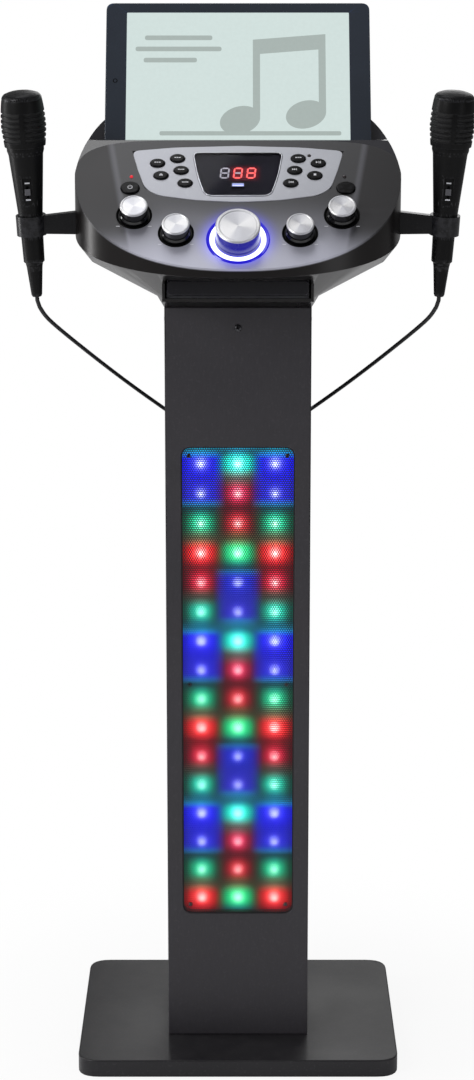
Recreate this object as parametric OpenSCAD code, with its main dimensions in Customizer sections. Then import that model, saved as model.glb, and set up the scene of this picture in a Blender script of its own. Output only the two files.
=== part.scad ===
// Karaoke machine on a speaker column. A heavy base carries a column with a
// light window; the sloping head on top holds the controls, a disc drawer that
// opens under its front lip, a tablet in a groove and a microphone at each side.
// Origin: centre of the base's underside. +X right, -Y towards the singer, +Z up.

/* [Base] */
// Width of the base plate
base_w = 322; // [300:1:400]
// Depth of the base plate, front to back
base_d = 266; // [260:1:340]
// Thickness of the base plate
base_t = 18; // [12:1:28]
// Corner radius of the base plate
base_r = 22; // [8:1:40]

/* [Column] */
// Width of the column
col_w = 142; // [138:1:160]
// Depth of the column
col_d = 138; // [132:1:146]
// Height of the column
col_h = 751; // [700:1:820]
// Thickness of the column's boards
board_t = 12; // [9:1:14]
// Radius of the column's screw heads
screw_r = 3.6; // [3:0.1:5]

/* [Light window] */
// Width of the window in the column's front
win_w = 111; // [100:1:114]
// Height of the window
win_h = 482; // [476:1:540]
// Height of the window's lower edge above the base
win_z = 132; // [100:1:160]
// Corner radius of the window
win_r = 10; // [4:1:20]
// Columns of lamps
lamp_cols = 3; // [2:1:3]
// Rows of lamps
lamp_rows = 16; // [8:1:16]
// Distance from the window's side to its nearest column of lamps
lamp_side = 19; // [14:0.5:26]
// Distance from the window's end to its nearest row of lamps
lamp_edge = 16; // [14:0.5:26]
// Radius of a lamp's lens
lamp_r = 5.5; // [3:0.5:8]

/* [Head] */
// Width of the head
head_w = 310; // [300:1:340]
// Reach of the head in front of the column
head_front = 90; // [86:1:100]
// Reach of the head behind the column's front
head_back = 142; // [140:1:160]
// Angle of the control face from level
face_tilt = 42.5; // [40:0.5:45]
// Height of the face's front edge above the column
lip_z = 49; // [46:1:56]
// Length of the face up its slope
face_len = 160; // [156:1:170]
// Height of the seam between the shells at the front lip
seam_z = 41; // [39:1:43]
// Rise of the seam towards the column's front, in degrees
seam_tilt = 20; // [10:1:22]
// Wall of the plastic shells
wall = 2.6; // [2:0.1:3]

/* [Controls] */
// Radius of a small knob
knob_r = 13; // [10:0.5:14]
// Height of a small knob
knob_h = 14.4; // [10:0.2:20]
// Radius of the main volume knob
dial_r = 21; // [16:0.5:21.4]
// Height of the main volume knob
dial_h = 20.4; // [12:0.2:28]
// Outer radius of the lit ring round the main knob
glow_r = 26.4; // [24:0.2:28]
// Radius of every knob shaft
shaft_r = 3; // [2:0.1:3.5]
// Travel of a push button
press = 1; // [0.5:0.1:1.2]
// Length of an oval button
oval_l = 14; // [10:0.5:15]
// Width of an oval button
oval_w = 10; // [7:0.5:11]

/* [Disc drawer] */
// Width of the drawer
tray_w = 128; // [125:0.5:128]
// Length of the drawer
tray_l = 189; // [180:1:190]
// Thickness of the drawer
tray_t = 8.5; // [8:0.1:8.8]
// Radius of the disc well
well_r = 60.8; // [60.2:0.1:61.4]
// Depth of the disc well
well_d = 5; // [4.6:0.1:5.4]
// How far the drawer opens
tray_go = 165; // [120:1:165]
// Teeth of the drive gear
gear_n = 18; // [18:1:20]

/* [Microphones] */
// Length of a microphone with its strain relief
mic_l = 198; // [191:1:210]
// Widest radius of its grille
mic_r = 21.3; // [19:0.1:24]
// Outward lean of a microphone, in degrees
mic_lean = 3; // [0:0.5:4]
// Lean of a microphone towards the singer, in degrees
mic_tip = 6; // [0:0.5:8]
// Distance of a microphone's foot from the middle
mic_x = 193; // [188:1:205]
// Play between a microphone and its ring
mic_play = 0.3; // [0.2:0.05:0.5]

/* [Tablet] */
// Width of the tablet
tab_w = 258; // [240:1:270]
// Height of the tablet along its own face
tab_h = 160; // [140:1:180]
// Thickness of the tablet
tab_t = 9; // [7:0.5:10]
// Backward lean of the tablet, in degrees
tab_lean = 30; // [26:1:32]
// Half width of the arch that rounds the backrest and the head's shoulders
arch_w = 157; // [155:1:160]
// Rise of that arch, seen from the front
arch_h = 105; // [100:1:110]
// Thickness of the backrest
arch_t = 12; // [8:1:16]

/* [Leads] */
// Diameter of a microphone lead
lead_d = 4; // [3:0.1:4]
// Loops in each layer of a stored coil
coil_turns = 2; // [1:1:2]
// Outer radius of a stored coil at the lead's middle
coil_r = 26.5; // [24:0.5:27]
// Clear gap between neighbouring loops
coil_gap = 0.7; // [0.5:0.1:0.8]

/* [Hidden] */
$fn = 48;

col_top = base_t + col_h;
slide_fit = 0.3;                 // gap round a piece that slides or is pressed
shaft_fit = 0.05;                // gap round a turning shaft
tiny = 0.01;

// Head frame: Y from the column's front face, Z from the column's top.
flat_y = head_back - 4;          // flat part of the head's back
front_bow = 2.3;                 // how square the head's plan is in front
back_bow = 4.5;                  // and behind
side_y = 6;                      // front end of the rear shell at the sides
seam_flat_z = seam_z + head_front * tan(seam_tilt);
ridge_y = -head_front + face_len * cos(face_tilt);
ridge_z = lip_z + face_len * sin(face_tilt);
foot_y = ridge_y + 17;           // front lower edge of the tablet
foot_z = ridge_z - 13;
shell_top = wall / cos(face_tilt);

// Control face, with s measured up the slope from the front lip.
panel_t = 1.6;                   // silver button panel
panel_in = 1.1;                  // depth of its recess in the face
panel_pts = [[-76, 90], [-88, 99], [-95, 122], [-101, 146], [-60, 150.5], [0, 152.5],
    [60, 150.5], [101, 146], [95, 122], [88, 99], [76, 90], [40, 84], [0, 81.5], [-40, 84]];
panel_hole = [[-72, 97], [-84, 101], [-91, 122], [-93, 143.2], [93, 143.2], [91, 122],
    [84, 101], [72, 97], [36, 90], [-36, 90]];
window_pts = [[-42, 143], [42, 143], [37, 112], [31, 92.5], [26, 90], [-26, 90],
    [-31, 92.5], [-37, 112]];
left_spots = [[-76.5, 130], [-57.5, 136], [-73, 114.5], [-54, 121], [-50, 105]];
right_spots = [[57.5, 136], [76.5, 130], [54, 121], [73, 114.5], [50, 105]];
side_spot = [102, 99];           // power and open buttons
side_oval = [18, 15];
lamp_spot = [101, 113.5];        // lamp above each side button
eye_spot = [68, 140];            // remote control's eye
usb_s = 103;
usb_size = [12, 4.6, 9];
outer_spot = [97.5, 65.5];       // outer small knobs
inner_spot = [58, 43.5];         // inner small knobs
dial_spot = [0, 36];
knob_well = knob_r + 4;          // black dish under a small knob
well_in = 1.2;                   // depth of the dishes
dial_rim = glow_r + 3.4;
board_in = 9;                    // circuit board below the face
pcb_t = 1.6;
switch_h = 3.5;

// Disc drawer, in the head frame.
door_y = -62;                    // front of the drawer's door
door_t = 3;
door_h = 14;
door_w = tray_w + 5;
house_w = door_w + 9.4;          // drawer housing under the lip
deck_z = 14.5;                   // underside of the housing
deck_t = 3;
frame_t = 2;
frame_z = deck_z + deck_t;
tray_z = frame_z + frame_t + 4.5;
door_z = tray_z - 3.5;
mouth_z = door_z + door_h + 2;     // ceiling of the drawer's mouth
well_y = door_y + door_t + well_r + 3.2;
gear_m = 1;
gear_r = gear_m * gear_n / 2;
gear_t = 3.2;
rack_x = 50;                     // pitch line of the rack
gear_x = rack_x - gear_r;
gear_y = door_y + 22;
pin_r = 2;

// Microphone profile along its axis, from the foot of the strain relief.
grip_z = 60;                     // ring's lower edge
grip_h = 20;
grip_r0 = 10.6;
grip_r1 = 11.6;
mesh_z = 146;                    // foot of the grille
mic_z = 11;                      // foot above the column's top
mic_y = 0;
slot_z = 104;                    // switch
plate_y = 12.2;                  // flat under the switch, from the axis
ring_wall = 2.4;
slider_go = 4;

// Rear sockets.
socket_z = 95;
socket_r = 3.25;
plug_r = 6.2;
plug_l = 34;
jack_x = 35;
aux_r = 1.8;
aux_x = 12;
plate_t = 3;

// Coils lie on the base behind the column.
lead_r = lead_d / 2;
coil_step = lead_d + coil_gap;
coil_x = 35;
coil_y = col_d / 2 + (base_d - col_d) / 4;
coil_z = base_t + lead_r + 0.3;
coil_bits = 24;

// Shared outlines

function bow(a, b, n, t) = [a * sign(cos(t)) * pow(abs(cos(t)), 2 / n),
    b * sign(sin(t)) * pow(abs(sin(t)), 2 / n)];

// Plan of the head, drawn in by i.
module head_plan(i = 0) {
    intersection() {
        polygon([for (t = [0 : 4 : 356]) bow(head_w / 2 - i,
            sin(t) < 0 ? head_front - i : head_back - i, sin(t) < 0 ? front_bow : back_bow, t)]);
        translate([-head_w, -head_w - i]) square([2 * head_w, head_w + flat_y]);
    }
}

// Rounded back edge of the control face, in plan.
module ridge_plan() {
    polygon([for (t = [0 : 4 : 356]) bow(head_w / 2 + 1, sin(t) < 0 ? 300 : ridge_y + 31,
        sin(t) < 0 ? 9 : 5, t) - [0, 31]]);
}

// Plan of the part of the head that the control face covers.
module face_plan() {
    intersection() {
        head_plan();
        union() {
            ridge_plan();
            translate([-400, -400]) square([800, 400 + side_y]);
        }
    }
}

// Plan of the rest, behind and beside the ridge.
module rear_plan() {
    difference() {
        intersection() {
            head_plan();
            translate([-400, side_y]) square([800, 800]);
        }
        ridge_plan();
    }
}

module ellipse(l, w) {
    polygon([for (t = [0 : 9 : 351]) [l / 2 * cos(t), w / 2 * sin(t)]]);
}

module rounded(w, h, r) {
    union() {
        square([w - 2 * r, h], center = true);
        square([w, h - 2 * r], center = true);
        for (x = [-1, 1], y = [-1, 1]) translate([x * (w / 2 - r), y * (h / 2 - r)]) circle(r);
    }
}

module head() { translate([0, -col_d / 2, col_top]) children(); }

// A profile drawn in Y and Z, extruded along X.
module along_x(w) {
    translate([-w / 2, 0, 0]) rotate([90, 0, 90]) linear_extrude(w) children();
}

// A profile drawn in X and Z, extruded from y0 to y1.
module along_y(y0, y1) {
    translate([0, y1, 0]) rotate([90, 0, 0]) linear_extrude(y1 - y0) children();
}

// Place on the control face: X across, Y up the slope, Z out of the face.
module on_face(p) {
    translate([p[0], -head_front + p[1] * cos(face_tilt), lip_z + p[1] * sin(face_tilt)])
        rotate([face_tilt, 0, 0]) children();
}

// Everything below the face, sunk by i.
module under_face(i = 0) {
    on_face([0, 0]) translate([-300, -300, -500 - i]) cube([600, 900, 500]);
}

module over_seam() {
    along_x(700) polygon([[-200, seam_flat_z - (200) * tan(seam_tilt)], [0, seam_flat_z],
        [300, seam_flat_z], [300, 500], [-200, 500]]);
}

// Base and column

module base_plate() {
    color("#2b2a2e") linear_extrude(base_t) rounded(base_w, base_d, base_r);
}

front_screw_z = col_h - 20;
side_screw_y = col_d * 0.43;

module column_front() {
    color("#2f2d32") translate([0, 0, base_t]) difference() {
        translate([-col_w / 2, -col_d / 2, 0]) cube([col_w, board_t, col_h]);
        along_y(-col_d / 2 - 1, -col_d / 2 + board_t + 1)
            translate([0, win_z + win_h / 2]) rounded(win_w, win_h, win_r);
        translate([0, -col_d / 2 - 1, front_screw_z]) rotate([-90, 0, 0])
            cylinder(r = screw_r * 0.45, h = board_t + 2);
    }
}

module column_shell() {
    color("#2f2d32") translate([0, 0, base_t]) difference() {
        translate([-col_w / 2, -col_d / 2 + board_t, 0]) cube([col_w, col_d - board_t, col_h]);
        translate([-col_w / 2 + board_t, -col_d / 2, -1])
            cube([col_w - 2 * board_t, col_d - board_t, col_h + 2]);
        translate([-col_w, -col_d / 2 + side_screw_y, front_screw_z]) rotate([0, 90, 0])
            cylinder(r = screw_r * 0.45, h = 2 * col_w);
    }
}

module screw() {
    rotate_extrude() polygon([[0, -9], [screw_r * 0.45, -9], [screw_r * 0.45, 0],
        [screw_r, 0], [screw_r, 0.8], [screw_r * 0.6, 1.8], [0, 1.8]]);
}

module column_screws() {
    color("#1c1c1e") translate([0, -col_d / 2, base_t + front_screw_z]) {
        rotate([90, 0, 0]) screw();
        for (s = [-1, 1]) translate([s * col_w / 2, side_screw_y, 0]) rotate([0, s * 90, 0]) screw();
    }
}

mesh_t = 1;
mesh_in = 2;
lamp_board_y = -col_d / 2 + board_t;      // lamp board lies on the front board's back
lamp_mid_z = base_t + win_z + win_h / 2 - 2.5;

module grille_mesh() {
    color("#4a4a50") translate([0, 0, base_t])
        along_y(-col_d / 2 + mesh_in, -col_d / 2 + mesh_in + mesh_t)
            translate([0, win_z + win_h / 2]) difference() {
                rounded(win_w, win_h, win_r);
                for (x = [-1, 1], z = [-1, 0, 1])
                    translate([x * (win_w / 2 - 7.5), z * (win_h / 2 - 9)]) circle(1.4);
            }
}

lamp_dx = (win_w - 2 * lamp_side) / (lamp_cols - 1);
lamp_dz = (win_h - 2 * lamp_edge) / (lamp_rows - 1);

module lamp_spots() {
    for (i = [0 : lamp_cols - 1], j = [0 : lamp_rows - 1])
        translate([(i - (lamp_cols - 1) / 2) * lamp_dx, (j - (lamp_rows - 1) / 2) * lamp_dz])
            children();
}

module lamp_board() {
    color("#1f2a24") along_y(lamp_board_y, lamp_board_y + 3) difference() {
        translate([0, base_t + win_z + win_h / 2])
            square([col_w - 2 * board_t - 2, win_h + 16], center = true);
        translate([0, lamp_mid_z]) lamp_spots() circle(lamp_r - 1.5);
    }
}

module lamp_lenses() {
    color("#dfe8ff") translate([0, lamp_board_y, lamp_mid_z]) rotate([90, 0, 0]) lamp_spots()
        rotate_extrude($fn = 24) polygon([[0, -3], [lamp_r - 1.5, -3], [lamp_r - 1.5, 0],
            [lamp_r, 0], [lamp_r, 1.5], [lamp_r * 0.8, 3.2], [lamp_r * 0.4, 4.2], [0, 4.5]]);
}

speaker_r = 50;
speaker_z = base_t + col_h * 0.5;
baffle_y = lamp_board_y + 26;

module speaker_baffle() {
    color("#5a4a3a") along_y(baffle_y, baffle_y + 9) difference() {
        translate([0, base_t + col_h / 2]) square([col_w - 2 * board_t, col_h], center = true);
        translate([0, speaker_z]) circle(speaker_r - 6);
    }
}

module speaker() {
    color("#26262a") translate([0, baffle_y, speaker_z]) rotate([90, 0, 0])
        rotate_extrude() polygon([[0, -46], [26, -46], [26, -30], [34, -28], [speaker_r - 7, -9],
            [speaker_r - 7, 0], [speaker_r, 0], [speaker_r, 3], [speaker_r - 9, 3],
            [speaker_r - 12, -2], [14, -16], [9, -11], [0, -9.5]]);
}

// Head shells

module level(z, w, y0, y1, r) {
    translate([0, (y0 + y1) / 2, z]) linear_extrude(0.2) rounded(w, y1 - y0, r, $fn = 32);
}

skirt_w = col_w + 12;            // width of the underside where it meets the neck
bulge_z = seam_z + 13.5 * tan(seam_tilt);  // level just under the seam, where the side turns in
tuck_z = seam_z - 11;            // level where the underside flattens

// Underside of the head, drawn in by i: a dish that narrows to the column.
module dish(i = 0) {
    hull() {
        intersection() {
            linear_extrude(300) head_plan(i);
            translate([0, 0, -0.2]) difference() {
                over_seam();
                translate([0, 0, 0.2]) over_seam();
            }
        }
        translate([0, 0, bulge_z]) linear_extrude(0.2) head_plan(15 + i);
        translate([0, 0, tuck_z + i]) linear_extrude(0.2) head_plan(43.5 + i);
        level(deck_z + i, skirt_w - 2 * i, -34 + i, flat_y + 1 - i, 14 - i / 2);
    }
}

module neck() {
    hull() {
        level(deck_z, skirt_w, -34, flat_y + 1, 14);
        level(0, col_w, 0, col_d, 2);
    }
}

module lower_shell() {
    inner_w = house_w - 2 * wall;
    color("#3a3634") head() difference() {
        union() {
            difference() {
                dish();
                dish(wall);
                translate([0, 0, 0.3]) intersection() {
                    linear_extrude(300) head_plan(wall);
                    over_seam();
                }
            }
            neck();
            // floor that the drawer's frame stands on
            translate([-house_w / 2, -34, deck_z]) cube([house_w, flat_y - 6 + 34, deck_t]);
            // housing round the drawer's mouth
            difference() {
                translate([-house_w / 2, door_y, deck_z])
                    cube([house_w, 60, mouth_z + wall - deck_z]);
                translate([-inner_w / 2, door_y - 1, frame_z])
                    cube([inner_w, 90, mouth_z - frame_z]);
            }
            // walls and ceiling of the recess in front of the door
            intersection() {
                dish();
                translate([-house_w / 2, -head_front, deck_z])
                    cube([house_w, head_front + door_y + 1, mouth_z + wall - deck_z]);
            }
        }
        // recess in front of the door, then the drawer's way through the wall
        translate([-inner_w / 2, -head_front - 10, deck_z - 5])
            cube([inner_w, head_front + 10 + door_y, mouth_z - deck_z + 5]);
        translate([-inner_w / 2, door_y - 1, frame_z]) cube([inner_w, 80, mouth_z - frame_z]);
        // wires pass down into the column
        for (s = [-1, 1]) translate([s * 32 - 9, col_d - 34, -1]) cube([18, 14, deck_z + deck_t + 2]);
        translate([0, 0, -1]) linear_extrude(deck_z - 3 + 1) translate([0, col_d / 2])
            square([col_w - 2 * board_t, col_d - 2 * board_t], center = true);
    }
}

module face_post(p) {
    on_face(p) translate([0, 0, -board_in]) cylinder(r = 3, h = board_in - wall + tiny);
}

module upper_shell() {
    color("#56565a") head() difference() {
        union() {
            difference() {
                intersection() {
                    linear_extrude(300) face_plan();
                    under_face();
                    over_seam();
                    shoulders();
                }
                intersection() {
                    linear_extrude(300) head_plan(wall);
                    under_face(wall);
                    shoulders(wall);
                }
            }
            for (x = [-1, 1]) {
                face_post([x * 88, 90]);
                face_post([x * 107, 125]);
            }
            on_face(dial_spot) translate([0, 0, -6]) cylinder(r = 9, h = 5);
            for (x = [-1, 1], p = [outer_spot, inner_spot])
                on_face([x * p[0], p[1]]) translate([0, 0, -6]) cylinder(r = 7, h = 5);
        }
        on_face([0, 0]) {
            translate([0, 0, -panel_in]) linear_extrude(9) polygon(panel_pts);
            translate([0, 0, -9]) linear_extrude(20) polygon(panel_hole);
            for (x = [-1, 1]) translate([x * side_spot[0], side_spot[1], -9])
                linear_extrude(20) ellipse(side_oval[0] + 2 * slide_fit, side_oval[1] + 2 * slide_fit);
            for (x = [-1, 1]) translate([x * lamp_spot[0], lamp_spot[1], -9]) cylinder(r = 1.7, h = 20);
        }
        for (x = [-1, 1], p = [outer_spot, inner_spot]) on_face([x * p[0], p[1]]) {
            translate([0, 0, -well_in]) cylinder(r = knob_well, h = 9);
            translate([0, 0, -9]) cylinder(r = shaft_r + shaft_fit, h = 20);
        }
        on_face(dial_spot) {
            translate([0, 0, -well_in]) cylinder(r = dial_rim, h = 9);
            translate([0, 0, -9]) cylinder(r = shaft_r + shaft_fit, h = 20);
        }
    }
}

function lean(y, z) = [foot_y + y * cos(tab_lean) + z * sin(tab_lean),
    foot_z - y * sin(tab_lean) + z * cos(tab_lean)];
deck_front = lean(tab_t + slide_fit, 4);
deck_back_z = ridge_z - 41;
groove_a = lean(-3, -slide_fit);
groove_b = lean(tab_t + slide_fit, -slide_fit);

arch_bow = 2.6;                  // how square the arch is
arch_sink = 57;                  // its centre below the ridge
arch_rise = 1 / cos(tab_lean);   // stretch along the leaning backrest
arch_drop = (foot_z - (tab_t + slide_fit) * sin(tab_lean) - ridge_z + arch_sink) * arch_rise;

// Front view of the arch and the straight sides below it, drawn in by i.
module arch(i = 0, rise = 1) {
    polygon(concat([[arch_w - i, -400]], [for (t = [0 : 4 : 180])
        bow(arch_w - i, (arch_h - i) * rise, arch_bow, t)], [[-arch_w + i, -400]]));
}

module shoulders(i = 0) { along_y(-400, 400) translate([0, ridge_z - arch_sink]) arch(i); }

module rear_solid() {
    intersection() {
        linear_extrude(300) rear_plan();
        shoulders();
        over_seam();
        along_x(700) polygon([[-head_front, 0], [-head_front, lip_z], [ridge_y, ridge_z],
            [ridge_y + 6, ridge_z], [groove_a[0] - 1, groove_a[1] + 2], groove_a, groove_b,
            deck_front, [head_back, deck_back_z], [head_back, 0]]);
    }
}

module rear_shell() {
    color("#3c3c44") head() difference() {
        rear_solid();
        intersection() {
            linear_extrude(300) head_plan(wall);
            shoulders(wall);
            along_x(700) polygon([[-head_front, 0], [-head_front, lip_z - shell_top],
                [ridge_y - 1, ridge_z - shell_top - 1], [ridge_y + 4, ridge_z - shell_top - 1],
                [groove_a[0] - 3, groove_a[1] - wall], [groove_b[0] + 1, groove_b[1] - wall - 0.4],
                [deck_front[0] + 2, deck_front[1] - wall - 0.6],
                [head_back, deck_back_z - wall], [head_back, 0]]);
        }
        translate([0, 0, socket_z]) along_y(flat_y - 20, flat_y + 20) square([96, 18], center = true);
    }
}

module on_tablet() {
    head() translate([0, foot_y, foot_z]) rotate([-tab_lean, 0, 0]) children();
}

module backrest() {
    color("#3c3c44") difference() {
        intersection() {
            on_tablet() along_y(tab_t + slide_fit, tab_t + slide_fit + arch_t)
                translate([0, -arch_drop]) intersection() {
                    arch(0, arch_rise);
                    translate([-arch_w, 0]) square([2 * arch_w, arch_h * arch_rise]);
                }
            head() linear_extrude(400) head_plan(1);
        }
        head() rear_solid();
        // nothing hangs below the deck behind the groove
        head() translate([-300, -200, 0]) cube([600, 600, deck_back_z]);
    }
}

// Control face

module button_panel() {
    color("#c6c7cf") head() on_face([0, 0]) difference() {
        translate([0, 0, -panel_in]) linear_extrude(panel_t) polygon(panel_pts);
        translate([0, 0, -5]) linear_extrude(10) polygon(window_pts);
        for (p = concat(left_spots, right_spots)) translate([p[0], p[1], -5]) linear_extrude(10)
            ellipse(oval_l + 2 * slide_fit, oval_w + 2 * slide_fit);
        translate([eye_spot[0], eye_spot[1], -5]) cylinder(r = 1.7, h = 10);
    }
}

module display_window() {
    color("#3a3a40") head() on_face([0, 0]) difference() {
        translate([0, 0, -panel_in]) linear_extrude(panel_t + 0.4) polygon(window_pts);
        translate([0, usb_s, 0]) cube([usb_size[0], usb_size[1], 20], center = true);
    }
}

digit_dx = 12.6;
digit_h = 13;
digit_w = 8;
bar_t = 1.5;

module bar(l) {
    polygon([[-l / 2, 0], [-l / 2 + bar_t / 2, bar_t / 2], [l / 2 - bar_t / 2, bar_t / 2],
        [l / 2, 0], [l / 2 - bar_t / 2, -bar_t / 2], [-l / 2 + bar_t / 2, -bar_t / 2]]);
}

module digit() {
    l = digit_w - bar_t;
    v = digit_h / 2 - bar_t / 2;
    for (y = [-1, 0, 1]) translate([0, y * v]) bar(l - 0.4);
    for (x = [-1, 1], y = [-1, 1]) translate([x * l / 2, y * v / 2]) rotate(90) bar(v - 0.4);
}

module display_digits() {
    color("#d03030") head() on_face([0, 119]) {
        translate([-digit_dx * 1.6, -digit_h / 2 - 1.6, -board_in])
            cube([digit_dx * 3.2, digit_h + 3.2, board_in - panel_in - 0.8]);
        for (i = [-1 : 1]) translate([i * digit_dx, 0, -panel_in - 0.8 - tiny])
            linear_extrude(0.5) digit();
    }
}

module usb_socket() {
    color("#9fb4e8") head() on_face([0, usb_s]) {
        difference() {
            translate([0, 0, -board_in]) linear_extrude(board_in + 0.9)
                square([usb_size[0], usb_size[1]], center = true);
            translate([0, 0, 2 - board_in]) linear_extrude(20)
                square([usb_size[0] - 1, usb_size[1] - 1], center = true);
        }
        translate([0, 0.7, 2 - board_in - tiny]) linear_extrude(board_in - 3)
            square([usb_size[0] - 2, 1.3], center = true);
    }
}

module light_ring() {
    color("#f2f6ff") head() on_face(dial_spot) rotate_extrude($fn = 72)
        polygon([[dial_r + 0.8, -well_in], [glow_r, -well_in], [glow_r, 0.6], [glow_r - 1, 1],
            [dial_r + 1.4, 0.4], [dial_r + 0.8, 0]]);
}

module knob_bezels() {
    color("#141416") head() {
        for (x = [-1, 1], p = [outer_spot, inner_spot]) on_face([x * p[0], p[1]])
            rotate_extrude() polygon([[shaft_r + 1, -well_in], [knob_well, -well_in],
                [knob_well, 0.5], [knob_well - 0.8, 0.7], [knob_well - 1.8, -0.5],
                [shaft_r + 1, -0.5]]);
        on_face(dial_spot) rotate_extrude($fn = 72) polygon([[glow_r + 0.1, -well_in],
            [dial_rim, -well_in], [dial_rim, 0.4], [dial_rim - 1, 1], [glow_r + 0.8, 1],
            [glow_r + 0.1, 0.4]]);
    }
}

module indicator_lamps() {
    color("#c02020") head() for (p = [[-lamp_spot[0], lamp_spot[1], 1.6],
            [lamp_spot[0], lamp_spot[1], 1.6], [eye_spot[0], eye_spot[1], 1.6]])
        on_face([p[0], p[1]]) rotate_extrude($fn = 24) polygon([[0, -board_in], [p[2], -board_in],
            [p[2], 0.6], [p[2] * 0.7, 1.1], [0, 1.3]]);
}

module tact_switch() {
    translate([-3, -3, -board_in]) cube([6, 6, switch_h]);
}

module circuit_boards() {
    color("#2d5a3a") head() {
        on_face([0, 0]) {
            translate([0, 0, -board_in - pcb_t]) linear_extrude(pcb_t)
                polygon([[-112, 86], [112, 86], [112, 128], [98, 146], [-98, 146], [-112, 128]]);
            for (p = concat(left_spots, right_spots)) translate([p[0], p[1], 0]) tact_switch();
            for (x = [-1, 1]) translate([x * side_spot[0], side_spot[1], 0]) tact_switch();
            // potentiometers under the knobs, each on the shell's boss
            for (p = [outer_spot, inner_spot], x = [-1, 1])
                translate([x * p[0] - 8, p[1] - 8, -14]) cube([16, 16, 8]);
            translate([dial_spot[0] - 8, dial_spot[1] - 8, -14]) cube([16, 16, 8]);
        }
        // main board on the back wall, behind the sockets
        translate([-60, flat_y - 32, socket_z - 14]) cube([120, 1.6, 28]);
    }
}

module rear_sockets() {
    color("#1a1a1c") head() translate([0, 0, socket_z]) difference() {
        union() {
            along_y(flat_y, flat_y + plate_t) rounded(104, 24, 3);
            along_y(flat_y - 6, flat_y + tiny) square([95.4, 17.4], center = true);
            for (x = [-1, 1]) translate([x * jack_x, 0, 0]) along_y(flat_y - 30.4, flat_y)
                circle(7);
            for (x = [-1, 1]) translate([x * aux_x, 0, 0]) along_y(flat_y - 30.4, flat_y)
                square([9, 11], center = true);
        }
        for (x = [-1, 1]) translate([x * jack_x, 0, 0])
            along_y(flat_y - 26, flat_y + plate_t + 1) circle(socket_r);
        translate([aux_x, 0, 0]) along_y(flat_y - 14, flat_y + plate_t + 1) circle(aux_r);
        translate([-aux_x, 0, 0]) difference() {
            along_y(flat_y - 9, flat_y + plate_t + 1) circle(3.1);
            along_y(flat_y - 10, flat_y + 1) circle(1);
        }
    }
}

module knob(r, h, rim) {
    rotate_extrude($fn = 72) polygon([[0, -5.6], [shaft_r, -5.6], [shaft_r, 0.4], [r + rim, 0.4],
        [r + rim, 2], [r + 0.2, 3.6], [r, h - 1.2], [r - 1.2, h], [r * 0.82, h], [r * 0.78, h - 0.5],
        [0, h - 0.7]]);
}

module side_knob(x, p) { color("#c9cad0") head() on_face([x * p[0], p[1]]) knob(knob_r, knob_h, 0.8); }

module left_outer_knob() { side_knob(-1, outer_spot); }
module left_inner_knob() { side_knob(-1, inner_spot); }
module right_inner_knob() { side_knob(1, inner_spot); }
module right_outer_knob() { side_knob(1, outer_spot); }
module main_volume_knob() { color("#d6d7dc") head() on_face(dial_spot) knob(dial_r, dial_h, 0); }

// A push button: cap through the hole, flange under the cover, stem to its switch.
module button(p, l, w, under, top) {
    color("#202024") head() on_face(p) {
        translate([0, 0, -under - slide_fit - tiny]) linear_extrude(under + slide_fit + top - 0.6)
            ellipse(l, w);
        translate([0, 0, top - 0.6 - 2 * tiny]) linear_extrude(0.6) ellipse(l - 1.2, w - 1.2);
        translate([0, 0, -under - slide_fit - 1.2]) linear_extrude(1.2) ellipse(l + 2.4, w + 2.4);
        translate([0, 0, -board_in + switch_h + press + slide_fit])
            cylinder(r = 2, h = board_in - switch_h - press - under - 1);
    }
}

module panel_button(p) { button(p, oval_l, oval_w, panel_in, 2.3); }
module side_button(x) {
    button([x * side_spot[0], side_spot[1]], side_oval[0], side_oval[1], wall, 2);
}

module left_button_1() { panel_button(left_spots[0]); }
module left_button_2() { panel_button(left_spots[1]); }
module left_button_3() { panel_button(left_spots[2]); }
module left_button_4() { panel_button(left_spots[3]); }
module left_button_5() { panel_button(left_spots[4]); }
module right_button_1() { panel_button(right_spots[0]); }
module right_button_2() { panel_button(right_spots[1]); }
module right_button_3() { panel_button(right_spots[2]); }
module right_button_4() { panel_button(right_spots[3]); }
module right_button_5() { panel_button(right_spots[4]); }
module power_button() { side_button(-1); }
module open_button() { side_button(1); }

// Disc drawer

module drawer_frame() {
    x0 = tray_w / 2 + 0.5;
    x1 = x0 + 2.4;
    z0 = frame_z + frame_t;
    color("#55565c") head() difference() {
        union() {
            along_y(door_y + door_t + 3, flat_y - 8) {
                translate([-x1, frame_z]) square([2 * x1, frame_t]);
                for (s = [0, 1]) mirror([s, 0]) {
                    translate([x0, frame_z]) square([x1 - x0, tray_z - frame_z + tray_t + 2]);
                    translate([x0 - 2.5, tray_z + tray_t + 0.4]) square([3, 1.6]);
                    translate([x0 - 3, frame_z]) square([3.2, tray_z - frame_z - 0.4]);
                }
            }
            translate([gear_x, gear_y, z0 - tiny]) {
                cylinder(r = pin_r + 1.5, h = 0.4);
                cylinder(r = pin_r, h = gear_t + 0.7);
            }
            translate([0, well_y, z0 - tiny]) cylinder(r = 4, h = 0.4);
        }
        translate([0, well_y, frame_z - 1]) cylinder(r = 1.5 + shaft_fit, h = frame_t + 3);
    }
}

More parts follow.
